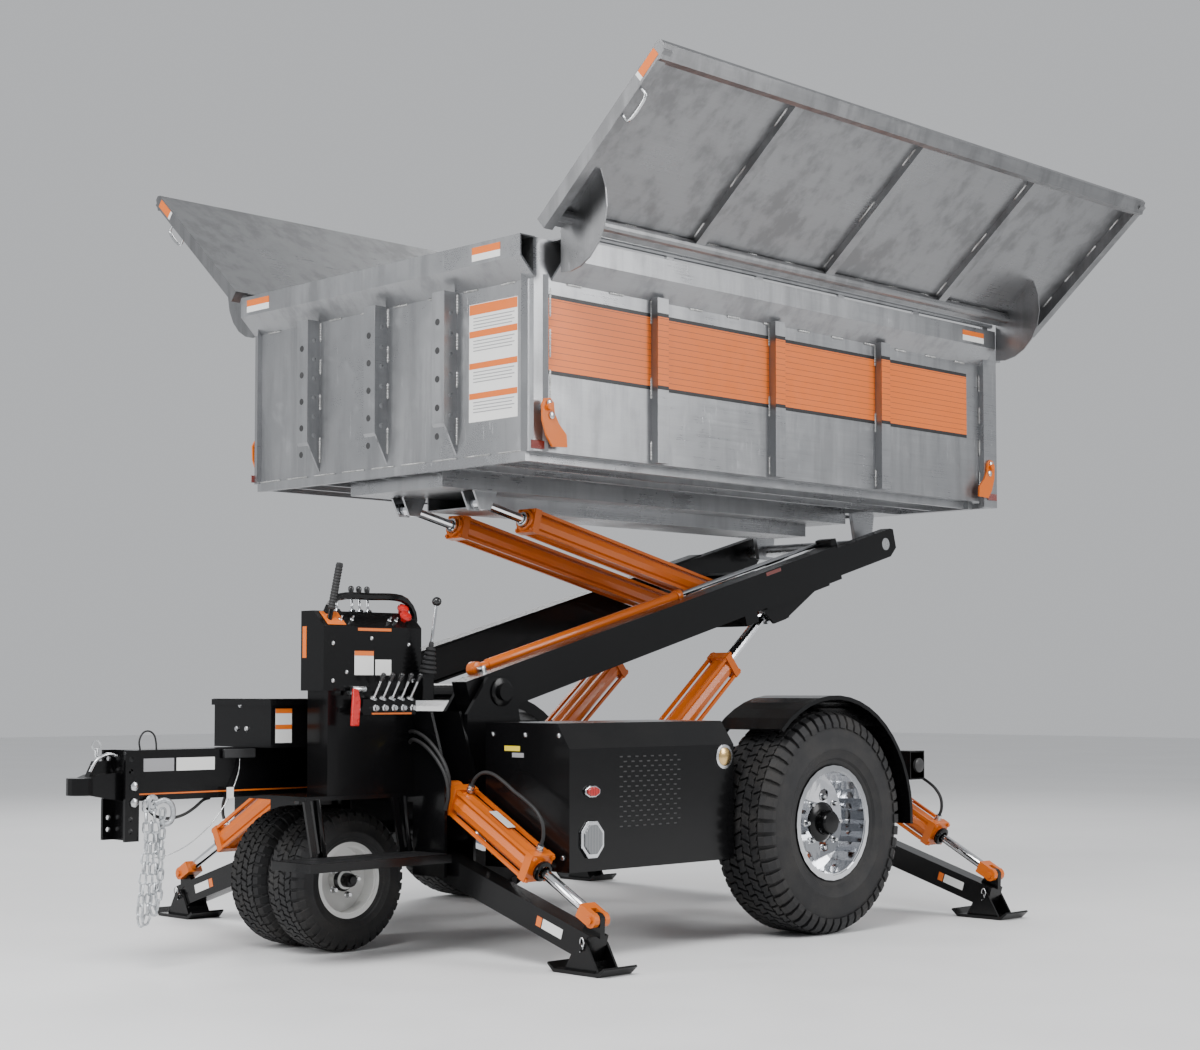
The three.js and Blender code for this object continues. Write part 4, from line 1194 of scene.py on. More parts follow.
@dataclass
class Tyre:
    """A tyre with moulded tread blocks and ribbed side walls."""

    radius: float
    width: float
    bead: float
    pitches: int
    rows: tuple[float, ...]
    depth: float = 0.011

    def casing(self, centre: Vector) -> Piece:
        """The tyre's body, up to the bottom of its grooves.

        Args:
            centre: the wheel's middle.

        Returns:
            The turned piece.
        """
        r, h, b = self.radius - self.depth, self.width / 2, self.bead
        wall = r - b
        half = [
            (b, h * 0.66), (b + 0.06 * wall, h * 0.80), (b + 0.12 * wall, h * 0.86), (b + 0.16 * wall,
                    h * 0.87),
            (b + 0.20 * wall, h * 0.93), (b + 0.34 * wall, h * 0.975), (b + 0.36 * wall, h * 0.998),
            (b + 0.40 * wall, h * 1.0), (b + 0.42 * wall, h * 0.985), (b + 0.60 * wall, h * 0.985),
            (b + 0.74 * wall, h * 0.945), (b + 0.86 * wall, h * 0.89), (r - 0.012, h * 0.80), (r,
                    h * 0.66),
        ]
        profile = half + [(r, 0.0)] + [(q, -a) for q, a in reversed(half)]
        return turned(profile, centre, (0, 1, 0), 96, 32)

    def block(self, centre: Vector, row: float, length: float, wide: float, slant: float) -> Piece:
        """One tread block at the top of the tyre.

        Args:
            centre: the wheel's middle.
            row: the block's middle across the tread, as a share of half the width.
            length: its length round the tyre.
            wide: its width across.
            slant: how far its ends lean.

        Returns:
            The block.
        """
        z = centre.z + self.radius - self.depth - 0.004
        y = centre.y + row * self.width / 2
        drop = 0.010 * abs(row) ** 3
        top = self.depth + 0.004 - drop
        outline = [
            (-length / 2 - slant, -wide / 2), (-length * 0.1 - slant, -wide / 2), (0.0, -wide * 0.32),
            (length * 0.4 - slant, -wide / 2), (length / 2 - slant, -wide * 0.4), (length / 2 + slant,
                    wide / 2),
            (length * 0.1 + slant, wide / 2), (0.0, wide * 0.34), (-length * 0.42 + slant, wide / 2),
            (-length / 2 + slant, wide * 0.4),
        ]
        points = [Vector((centre.x + u, y + v, z)) for u, v in outline]
        return drawn(points, (0, 0, top), 0.0011, 1)

    def lug(self, centre: Vector, side: float, length: float) -> Piece:
        """One shoulder lug that runs over the edge on to the side wall.

        Args:
            centre: the wheel's middle.
            side: 1 or -1.
            length: its length round the tyre.

        Returns:
            The lug.
        """
        h, r = self.width / 2, self.radius
        outline = [(h * 0.70, r - 0.002), (h * 0.86, r - 0.013), (h * 0.975, r - 0.042), (h * 0.985,
                r - 0.062),
                   (h * 0.90, r - 0.060), (h * 0.66, r - 0.020)]
        points = [Vector((centre.x - length / 2, centre.y + side * a, centre.z + b)) for a, b in outline]
        return drawn(points, (length, 0, 0), 0.0014, 1)

    def build(self, name: str, body: str, slot_nodes: tuple[str, ...]) -> None:
        """Builds the whole tyre in place of its node.

        Args:
            name: the piece's name.
            body: the body it rides on.
            slot_nodes: the nodes it replaces.
        """
        low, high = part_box(slot_nodes[0])
        centre = Vector([(a + b) / 2 for a, b in zip(low, high)])
        around = math.tau / self.pitches
        length = self.radius * around
        one = []
        gap = 2.0 / len(self.rows)
        for i, row in enumerate(self.rows):
            made = self.block(centre, row, length * 0.80, self.width / 2 * gap * 0.62,
                    length * (0.12 if i % 2 else -0.12))
            made.data.transform(turn_about(centre, (0, 1, 0), around * (0.5 if i % 2 else 0.0)))
            one.append(made)
        for side in (-1.0, 1.0):
            wide = self.lug(centre, side, length * 0.66)
            wide.data.transform(turn_about(centre, (0, 1, 0), around * (0.25 if side > 0 else 0.0)))
            one.append(wide)
        pattern = united(one)
        copies = [copied(pattern, turn_about(centre, (0, 1, 0), around * k)) for k in range(1,
                self.pitches)]
        whole = united([pattern, *copies])
        tyre = united([self.casing(centre), whole])
        fit(tyre, name, Palette.TYRE, body, Slot.TYRE, *slot_nodes)


@dataclass
class Wheels:
    """All four wheels: tyres, hubs and lug nuts."""

    rear: Tyre = field(default_factory=lambda: Tyre(0.427, 0.280, 0.208, 52, (-0.54, -0.27, 0.0, 0.27,
            0.54), 0.012))
    front: Tyre = field(default_factory=lambda: Tyre(0.255, 0.190, 0.130, 40, (-0.50, -0.17, 0.17, 0.50),
            0.008))

    def hub(self, side: Side, rear: bool) -> None:
        """The hub, its nuts and cap on one wheel's outer face.

        Args:
            side: which side.
            rear: a rear wheel, else a front one.
        """
        kind = "rear" if rear else "front"
        low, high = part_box(f"{kind}_rim_{side.word}")
        middle = Vector([(a + b) / 2 for a, b in zip(low, high)])
        out = Vector((0.0, side.value, 0.0))
        face = middle + out * (0.062 if rear else 0.040)
        radius, ring, nuts = (0.078, 0.098, 8) if rear else (0.042, 0.057, 5)
        profile = [(0.0, 0.0), (radius, 0.0), (radius, 0.006), (radius * 0.82, 0.014), (radius * 0.62,
                0.016),
                   (radius * 0.60, 0.046), (radius * 0.52, 0.054), (radius * 0.20, 0.056), (0.0, 0.056)]
        fit(turned(profile, face, out, 40), f"{kind}_hub_{side.word}", Palette.BLACK,
                f"{kind}_wheel_{side.word}", Slot.BLACK)
        shape = [(0.0, 0.0), (0.0125, 0.0), (0.0125, 0.004), (0.0095, 0.006), (0.0095, 0.018), (0.007,
                0.022), (0.0, 0.022)]
        first = turned(shape, face + Vector((ring, 0, 0)), out, 12)
        rest = [copied(first, turn_about(face, (0, 1, 0), math.tau * k / nuts)) for k in range(1, nuts)]
        fit(united([first, *rest]), f"{kind}_nuts_{side.word}", Palette.STEEL,
                f"{kind}_wheel_{side.word}", Slot.ZINC)

    def build(self) -> None:
        """Builds the wheels' pieces."""
        for side in Side:
            self.rear.build(f"rear_tread_{side.word}", f"rear_wheel_{side.word}",
                    (f"rear_tyre_{side.word}",))
            self.front.build(f"front_tread_{side.word}", f"front_wheel_{side.word}",
                    (f"front_tyre_{side.word}",))
            self.hub(side, True)
            self.hub(side, False)


# ---------------------------------------------------------------- dump box


@dataclass(frozen=True)
class StripedFilm:
    """Orange vinyl with fine darker pinstripes along it."""

    name: str = "striped_film"
    colour: tuple[float, float, float] = (0.76, 0.150, 0.006)
    line: tuple[float, float, float] = (0.16, 0.055, 0.02)
    pitch: float = 0.0232

    def make(self) -> bpy.types.Material:
        """Builds the material."""
        n = Nodes(self.name)
        split = n.node("ShaderNodeSeparateXYZ")
        n.link(n.place, split.inputs[0])
        wave = n.maths("PINGPONG", n.maths("MULTIPLY", split.outputs["Z"], 1.0 / self.pitch), 0.5)
        stripe = n.ramp(wave, 0.045, 0.03)
        glare = n.ramp(n.noise(1.2, 3.0), 0.3, 0.7)
        pale = tuple(min(1.0, c * 1.06 + 0.01) for c in self.colour)
        n.set(
            Base_Color=n.mixed(stripe, n.mixed(glare, self.colour, pale), self.line),
            Roughness=n.ramp(n.noise(24.0, 4.0), 0.3, 0.7, 0.30, 0.42),
            Coat_Weight=0.35,
            Normal=n.height(n.noise(180.0, 2.0), 0.00004),
        )
        return n.material


@dataclass
class DumpBox:
    """Films, welds, labels and small fittings on the aluminium box."""

    wall: float = 0.834
    rib_out: float = 0.868
    ribs: tuple[float, ...] = (-0.700, -0.020, 0.670)
    band: tuple[float, float] = (2.058, 2.336)
    front: float = -1.330
    rear: float = 1.400

    def stretches(self) -> list[tuple[float, float, float]]:
        """The flat runs of the side wall and the ribs' faces: start, end and plane."""
        runs = []
        last = self.front + 0.062
        for rib in self.ribs:
            runs.append((last, rib - 0.030, self.wall))
            runs.append((rib - 0.030, rib + 0.030, self.rib_out))
            last = rib + 0.030
        runs.append((last, self.rear - 0.095, self.wall))
        return runs

    def bands(self) -> None:
        """The orange band with its dark borders on both sides."""
        low, high = self.band
        orange, dark = [], []
        for x0, x1, y in self.stretches():
            orange.append(slab(x0 + 0.0006, x1 - 0.0006, -y - 0.0009, -y + 0.0002, low + 0.010,
                    high - 0.010, 0.0))
            for z0, z1 in ((low - 0.004, low + 0.010), (high - 0.010, high + 0.004)):
                dark.append(slab(x0 + 0.0006, x1 - 0.0006, -y - 0.0010, -y + 0.0002, z0, z1, 0.0))
        fit_pair(united(orange), "side_band", StripedFilm(), ("dump_box", "dump_box"), Slot.ORANGE)
        fit_pair(united(dark), "side_band_edges", Palette.BLACK_FILM, ("dump_box", "dump_box"),
                Slot.BLACK)

    def bead(self, start: Vector, end: Vector, radius: float = 0.0042) -> Piece:
        """One stitch of weld, lumpy along its length.

        Args:
            start: one end.
            end: the other end.
            radius: in metres.

        Returns:
            The bead.
        """
        way = end - start
        lumps = max(3, int(way.length / 0.011))
        points = [start + way * (k / (lumps * 2)) for k in range(lumps * 2 + 1)]
        piece = pipe(points, radius, 1, 1)
        for vertex in piece.data.vertices:
            share = (vertex.co - start).dot(way) / way.length_squared
            near = start + way * min(1.0, max(0.0, share))
            swell = 0.72 + 0.28 * abs(math.sin(share * lumps * math.pi))
            tail = min(1.0, 0.55 + 6.0 * min(share, 1.0 - share)) if 0 <= share <= 1 else 0.55
            vertex.co = near + (vertex.co - near) * swell * tail
        return piece

    def stitches(self, start: Vector, end: Vector, count: int, share: float = 0.4,
            radius: float = 0.0042) -> list[Piece]:
        """A row of stitches along a seam.

        Args:
            start: the seam's start.
            end: its end.
            count: how many stitches.
            share: how much of the seam is welded.
            radius: the bead's radius.

        Returns:
            The beads.
        """
        way = (end - start) / count
        return [self.bead(start + way * (k + 0.5 - share / 2), start + way * (k + 0.5 + share / 2),
                radius) for k in range(count)]

    def welds(self) -> None:
        """Weld stitches along the ribs, the rail, the corners and the floor's edge."""
        beads: list[Piece] = []
        for rib in self.ribs:
            for edge in (-0.031, 0.031):
                for z0, z1 in ((1.79, 1.86), (2.02, 2.10), (2.30, 2.385)):
                    beads.append(self.bead(at(rib + edge, -self.wall - 0.001, z0), at(rib + edge,
                            -self.wall - 0.001, z1)))
        beads += self.stitches(at(-1.24, -self.wall - 0.002, 2.386), at(1.36, -self.wall - 0.002, 2.386),
                12, 0.35)
        beads += self.stitches(at(-1.262, -self.wall - 0.012, 1.80), at(-1.262, -self.wall - 0.012,
                2.38), 4, 0.7)
        beads += self.stitches(at(1.398, -self.wall - 0.004, 1.80), at(1.398, -self.wall - 0.004, 2.38),
                4, 0.5)
        fit_pair(united(beads), "side_welds", Palette.BEAD, ("dump_box", "dump_box"), Slot.MILL)
        front: list[Piece] = []
        for y in (-0.420, -0.020, 0.400):
            for z0, z1 in ((1.83, 1.93), (2.04, 2.10), (2.18, 2.24), (2.31, 2.385)):
                front.append(self.bead(at(self.front - 0.001, y - 0.006, z0), at(self.front - 0.001,
                        y - 0.006, z1)))
        front += self.stitches(at(self.front - 0.002, -0.80, 2.386), at(self.front - 0.002, 0.80, 2.386),
                8, 0.4)
        front += self.stitches(at(self.front - 0.004, -0.81, 1.780), at(self.front - 0.004, 0.81, 1.780),
                9, 0.75)
        fit(united(front), "front_welds", Palette.BEAD, "dump_box", Slot.MILL)

    def label(self, name: str, x0: float, x1: float, z0: float, z1: float, y: float) -> None:
        """A small two colour label on both sides, orange over white.

        Args:
            name: its name.
            x0: its front.
            x1: its rear.
            z0: its bottom.
            z1: its top.
            y: the plane it is on, as a distance from the middle.
        """
        cut = z0 + (z1 - z0) * 0.52
        fit_pair(slab(x0, x1, -y - 0.0009, -y + 0.0002, cut, z1, 0.0), f"{name}_top",
                Palette.ORANGE_FILM, ("dump_box", "dump_box"), Slot.ORANGE)
        fit_pair(slab(x0, x1, -y - 0.0009, -y + 0.0002, z0, cut, 0.0), f"{name}_foot",
                Palette.WHITE_FILM, ("dump_box", "dump_box"), Slot.WHITE)

    def front_notice(self) -> None:
        """The tall blank notice on the front wall: white sheet with four orange bars and grey rules."""
        x = self.front
        fit(slab(x - 0.0008, x + 0.0002, -0.752, -0.492, 1.905, 2.335, 0.0), "notice_sheet",
                Palette.WHITE_FILM, "dump_box", Slot.WHITE)
        bars = [slab(x - 0.0014, x - 0.0009, -0.750, -0.494, z, z + h, 0.0) for z, h in ((2.296, 0.037),
                (2.213, 0.024), (2.098, 0.022), (1.988, 0.022))]
        fit(united(bars), "notice_bars", Palette.ORANGE_FILM, "dump_box", Slot.ORANGE)
        rules = []
        for start in (2.285, 2.202, 2.088, 1.978):
            for k in range(4):
                rules.append(slab(x - 0.0013, x - 0.0009, -0.735 + 0.012 * (k % 2), -0.515,
                        start - 0.012 * k - 0.0035, start - 0.012 * k, 0.0))
        fit(united(rules), "notice_rules", Palette.GREY_FILM, "dump_box", Slot.BLACK)

    def rail_labels(self) -> None:
        """Labels on the front rail's face and the side rails."""
        x = self.front - 0.070
        for i, y in enumerate((-0.66, 0.72)):
            fit(slab(x - 0.0012, x - 0.0002, y - 0.075, y + 0.075, 2.494, 2.520, 0.0),
                    f"rail_label_top_{i}", Palette.ORANGE_FILM, "dump_box", Slot.ORANGE)
            fit(slab(x - 0.0012, x - 0.0002, y - 0.075, y + 0.075, 2.470, 2.494, 0.0),
                    f"rail_label_foot_{i}", Palette.WHITE_FILM, "dump_box", Slot.WHITE)
        self.label("side_rail_label", 1.18, 1.34, 2.47, 2.515, self.wall + 0.0702)

    def latches(self) -> None:
        """Bolt heads on the latch levers and the reflectors below them."""
        for end, x, sign in ((End.FRONT, self.front + 0.040, 1.0), (End.REAR, 1.440, -1.0)):
            shape = [(0.0, 0.0), (0.013, 0.0), (0.013, 0.005), (0.010, 0.007), (0.0, 0.008)]
            bolts = [turned(shape, at(x + sign * du, -0.8695, 1.932 + dv), (0, -1, 0), 12) for du,
                    dv in ((0.0, 0.012), (0.012, -0.030))]
            fit_pair(united(bolts), f"latch_bolts_{end.value}", Palette.STEEL,
                    (f"latch_{end.value}_near", f"latch_{end.value}_far"), Slot.ZINC)
            lens = slab(x - 0.034 - 0.02 * sign, x + 0.034 - 0.02 * sign,
                    -self.wall - (0.004 if sign > 0 else 0.030),
                    -self.wall - (0.0005 if sign > 0 else 0.0265), 1.796 - 0.012, 1.826 - 0.012, 0.001)
            fit_pair(lens, f"side_reflector_{end.value}", Palette.DARK_RED, ("dump_box", "dump_box"),
                    Slot.ORANGE)

    def build(self) -> None:
        """Builds every piece on the box."""
        self.bands()
        self.welds()
        self.front_notice()
        self.rail_labels()
        self.latches()


@dataclass
class Wings:
    """Welds, handle and labels on the two fold-out wings."""

    pivot: tuple[float, float] = (0.885, 2.560)
    angle: float = math.radians(41.0)
    width: float = 0.785
    front: float = -1.380
    rear: float = 1.695

    def spot(self, x: float, u: float, v: float) -> Vector:
        """A place on the near wing: x along it, u out from the hinge, v above its inner face."""
        y = self.pivot[0] + math.cos(self.angle) * u - math.sin(self.angle) * v
        z = self.pivot[1] + math.sin(self.angle) * u + math.cos(self.angle) * v
        return at(x, -y, z)

    def build(self) -> None:
        """Builds the pieces of both wings."""
        box = DumpBox()
        beads: list[Piece] = []
        span = (self.rear - self.front) / 4
        for i in (1, 2, 3):
            x = self.front + span * i
            for edge in (-0.026, 0.026):
                for u0, u1 in ((0.10, 0.17), (0.34, 0.44), (0.62, 0.70)):
                    beads.append(box.bead(self.spot(x + edge, u0, -0.0065), self.spot(x + edge, u1,
                            -0.0065), 0.0045))
        beads += box.stitches(self.spot(self.front + 0.08, 0.086, -0.008), self.spot(self.rear - 0.08,
                0.086, -0.008), 13, 0.28, 0.0045)
        for x in (self.front + 0.043, self.rear - 0.043):
            beads += box.stitches(self.spot(x, 0.12, -0.0065), self.spot(x, 0.72, -0.0065), 4, 0.4,
                    0.0045)
        fit_pair(united(beads), "wing_welds", Palette.BEAD, ("wing_near", "wing_far"), Slot.MILL)
        handle = pipe([self.spot(self.front + 0.012, 0.52, -0.046), self.spot(self.front + 0.012, 0.52,
                -0.082),
                       self.spot(self.front + 0.012, 0.55, -0.092), self.spot(self.front + 0.012, 0.60,
                               -0.092),
                       self.spot(self.front + 0.012, 0.63, -0.082), self.spot(self.front + 0.012, 0.63,
                               -0.046)], 0.006, 4, 2)
        fit_pair(handle, "wing_handle", Palette.STEEL, ("wing_near", "wing_far"), Slot.ZINC)
        for word, u0, u1, finish, slot in (("top", 0.665, 0.76, Palette.ORANGE_FILM, Slot.ORANGE),
                ("foot", 0.65, 0.665, Palette.WHITE_FILM, Slot.WHITE)):
            corners = [self.spot(self.front - 0.0010, u, v) for u, v in ((u0, -0.006), (u1, -0.006),
                    (u1, -0.040), (u0, -0.040))]
            fit_pair(drawn(corners, (0.0009, 0, 0), 0.0), f"wing_label_{word}", finish, ("wing_near",
                    "wing_far"), slot)


# ---------------------------------------------------------------- rams and outriggers


@dataclass
class Outriggers:
    """Glands, hoses, fittings, labels and chrome on the four outriggers."""

    stations: tuple[tuple[End, float], ...] = ((End.FRONT, -1.390), (End.REAR, 0.930))
    top: tuple[float, float] = (0.462, 0.578)

    def line(self, x: float) -> tuple[Vector, Vector]:
        """Where the near ram starts and which way it runs."""
        box_low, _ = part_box("outrigger_rod_front_near")
        start = at(x, -self.top[0], self.top[1])
        end = Vector((start.x, box_low[1] + 0.030, box_low[2] + 0.030))
        return start, (end - start)

    def build(self) -> None:
        """Builds the pieces of all four stations."""
        for end, x in self.stations:
            start, way = self.line(x)
            unit = way.normalized()
            length = way.length
            up = Vector((1, 0, 0)).cross(unit).normalized()
            if up.z < 0:
                up = -up
            names = tuple(f"outrigger_rod_{end.value}_{s.word}" for s in Side)
            chrome = rod(start + unit * 0.545, start + unit * (length - 0.045), 0.0181, 32, 0.001)
            fit_pair(chrome, f"outrigger_shaft_{end.value}", Palette.ROD, names, Slot.CHROME)
            barrels = tuple(f"outrigger_barrel_{end.value}_{s.word}" for s in Side)
            gland = turned([(0.024, 0.0), (0.036, 0.0), (0.038, 0.004), (0.038, 0.014), (0.030, 0.018),
                    (0.024, 0.018)], start + unit * 0.540, unit, 32)
            fit_pair(gland, f"outrigger_gland_{end.value}", Palette.BLACK, barrels, Slot.BLACK)
            side = Vector((1, 0, 0))
            for j, (d0, d1) in enumerate(((0.235, 0.345),)):
                corners = [start + unit * a + side * b - up * 0.0 for a, b in ((d0, -0.018),
                        (d1, -0.018), (d1, 0.018), (d0, 0.018))]
                raised = [c + up * 0.0512 for c in corners]
                fit_pair(drawn(raised, up * 0.0012, 0.0), f"ram_label_{end.value}_{j}",
                        Palette.WHITE_FILM, barrels, Slot.WHITE)
            for j, d in enumerate((0.095, 0.500)):
                root = start + unit * d + up * 0.050
                fitting = turned([(0.0, 0.0), (0.014, 0.0), (0.014, 0.010), (0.010, 0.011), (0.010,
                        0.015), (0.013, 0.016), (0.013, 0.025), (0.0, 0.025)], root, up, 8)
                fit_pair(fitting, f"ram_fitting_{end.value}_{j}", Palette.STEEL, barrels, Slot.ZINC)
            root = start + unit * 0.500 + up * 0.070
            half = [(0.0, 0.0), (0.004, 0.036), (0.030, 0.074), (0.080, 0.096), (0.150, 0.100)]
            arch = half + [(0.2025, 0.098)] + [(0.405 - back, rise) for back, rise in reversed(half)]
            route = [root - unit * back + up * rise for back, rise in arch]
            for side, barrel in zip(Side, barrels):
                flip = Matrix.Identity(4) if side is Side.NEAR else FLIP_Y
                laid([flip @ q for q in route], 0.0065, f"ram_hose_{end.value}_{side.word}",
                        Palette.HOSE, body=barrel)
            legs = tuple(f"outrigger_leg_{end.value}_{s.word}" for s in Side)
            leg_low, leg_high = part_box(f"outrigger_leg_{end.value}_near")
            hinge, toe = at(x, -0.385, 0.333), at(x, -1.185, 0.088)
            along = (toe - hinge).normalized()
            front = leg_low[0] - 0.0009
            across = Vector((0, -along.z, along.y))
            for j, (a, b, finish, slot) in enumerate(((0.60, 0.625, Palette.ORANGE_FILM, Slot.ORANGE),
                    (0.63, 0.73, Palette.WHITE_FILM, Slot.WHITE))):
                quad = [hinge + along * p + across * q for p, q in ((a, -0.018), (b, -0.018), (b, 0.016),
                        (a, 0.016))]
                flat = [Vector((front, q.y, q.z)) for q in quad]
                if j < 2:
                    fit_pair(drawn(flat, (0.0008, 0, 0), 0.0), f"leg_label_{end.value}_{j}", finish,
                            legs, slot)
            feet = tuple(f"outrigger_foot_{end.value}_{s.word}" for s in Side)
            foot_low, foot_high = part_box(f"outrigger_foot_{end.value}_near")
            middle = (foot_low[0] + foot_high[0]) / 2
            pin = rod((middle - 0.062, toe.y, toe.z), (middle + 0.062, toe.y, toe.z), 0.0135, 24, 0.002)
            clip = pipe([(middle - 0.056, toe.y, toe.z - 0.016), (middle - 0.056, toe.y, toe.z + 0.020),
                    (middle - 0.060, toe.y - 0.012, toe.z + 0.034),
                         (middle - 0.060, toe.y - 0.022, toe.z + 0.018), (middle - 0.056, toe.y - 0.012,
                                 toe.z - 0.004)], 0.0022, 4, 2)
            fit_pair(united([pin, clip]), f"foot_pin_{end.value}", Palette.STEEL, feet, Slot.ZINC)


@dataclass
class Hoses:
    """Hydraulic hoses and the hardware near the arms' pivots."""

    def build(self) -> None:
        """Builds the hoses that loop from the frame to the front outriggers, and the arms' trim."""
        self.reach_ram()
        runs = [
            [at(-1.470, -0.300, 0.760), at(-1.482, -0.360, 0.790), at(-1.484, -0.450, 0.760), at(-1.482,
                    -0.530, 0.690), at(-1.478, -0.560, 0.620), at(-1.470, -0.540, 0.560)],
            [at(-1.470, -0.320, 0.735), at(-1.490, -0.380, 0.760), at(-1.494, -0.470, 0.725), at(-1.490,
                    -0.545, 0.650), at(-1.482, -0.562, 0.575), at(-1.472, -0.535, 0.515)],
        ]
        for k, run in enumerate(runs):
            laid(run, 0.0072, f"frame_hose_{k}", Palette.HOSE)
        collars = [rod(run[0] - Vector((0, -0.01, 0)), run[0] + Vector((-0.004, -0.020, 0.008)), 0.0135,
                12, 0.001) for run in runs]
        fit(united(collars), "frame_hose_ends", Palette.STEEL, "chassis", Slot.ZINC)
        for side in Side:
            s = side.value
            pivot = at(-1.150, s * 0.472, 0.930)
            cap = turned([(0.0, 0.0), (0.052, 0.0), (0.052, 0.006), (0.040, 0.010), (0.0, 0.010)], pivot,
                    (0, s, 0), 32)
            fit(cap, f"arm_pivot_cap_{side.word}", Palette.BLACK, "chassis", Slot.BLACK)
        start, way = self.arm_line()
        wall = -0.4415
        edge = [start + way * d + self.arm_up(way) * v for d, v in ((1.62, 0.055), (1.72, 0.055),
                (1.72, 0.070), (1.62, 0.070))]
        fit_pair(drawn([Vector((p.x, wall, p.z)) for p in edge], (0, 0.0012, 0), 0.0), "arm_reflector",
                Palette.DARK_RED, ("lift_arms", "lift_arms"), Slot.ORANGE)

    def reach_ram(self) -> None:
        """The slim orange ram along the near arm's inner top, which runs the telescoping arms out."""
        start, way = self.arm_line()
        up = self.arm_up(way)
        base = start + up * 0.080 + Vector((0, -0.316, 0))
        across = Vector((0, 0.020, 0))
        foot = base + way * 0.03
        barrel = rod(base + way * 0.09, base + way * 1.18, 0.021, 32, 0.003)
        cap = rod(base + way * 1.17, base + way * 1.20, 0.025, 32, 0.003)
        clevis = rod(foot - across, foot + across, 0.028, 24, 0.003)
        neck = rod(foot, base + way * 0.10, 0.017, 20, 0.002)
        fit(united([barrel, cap, clevis, neck]), "reach_ram_barrel", Palette.ORANGE, "lift_arms",
                Slot.ORANGE)
        pin = rod(foot - across * 2.6, foot + across * 1.6, 0.012, 24, 0.002)
        fit(pin, "reach_ram_pin", Palette.STEEL, "lift_arms", Slot.ZINC)
        shaft = rod(base + way * 0.12, base + way * 2.150, 0.0115, 28, 0.001)
        fit(shaft, "reach_ram_shaft", Palette.ROD, "reach", Slot.CHROME)
        low, high = base + way * 2.140 - up * 0.050, base + way * 2.170 + up * 0.018
        edge = (low, low + way * 0.05, high + way * 0.015, high - way * 0.02)
        lug = drawn([Vector((p.x, base.y + 0.014, p.z)) for p in edge], (0, -0.092, 0), 0.003, 2)
        fit(lug, "reach_ram_lug", Palette.BLACK_ARM, "reach", Slot.BLACK)

    def arm_line(self) -> tuple[Vector, Vector]:
        """The arms' pivot and their direction."""
        a, b = at(-1.150, 0, 0.930), at(1.250, 0, 1.600)
        return a, (b - a).normalized()

    def arm_up(self, way: Vector) -> Vector:
        """The direction square to the arms, upwards."""
        return Vector((-way.z, 0, way.x))


# ---------------------------------------------------------------- towing end


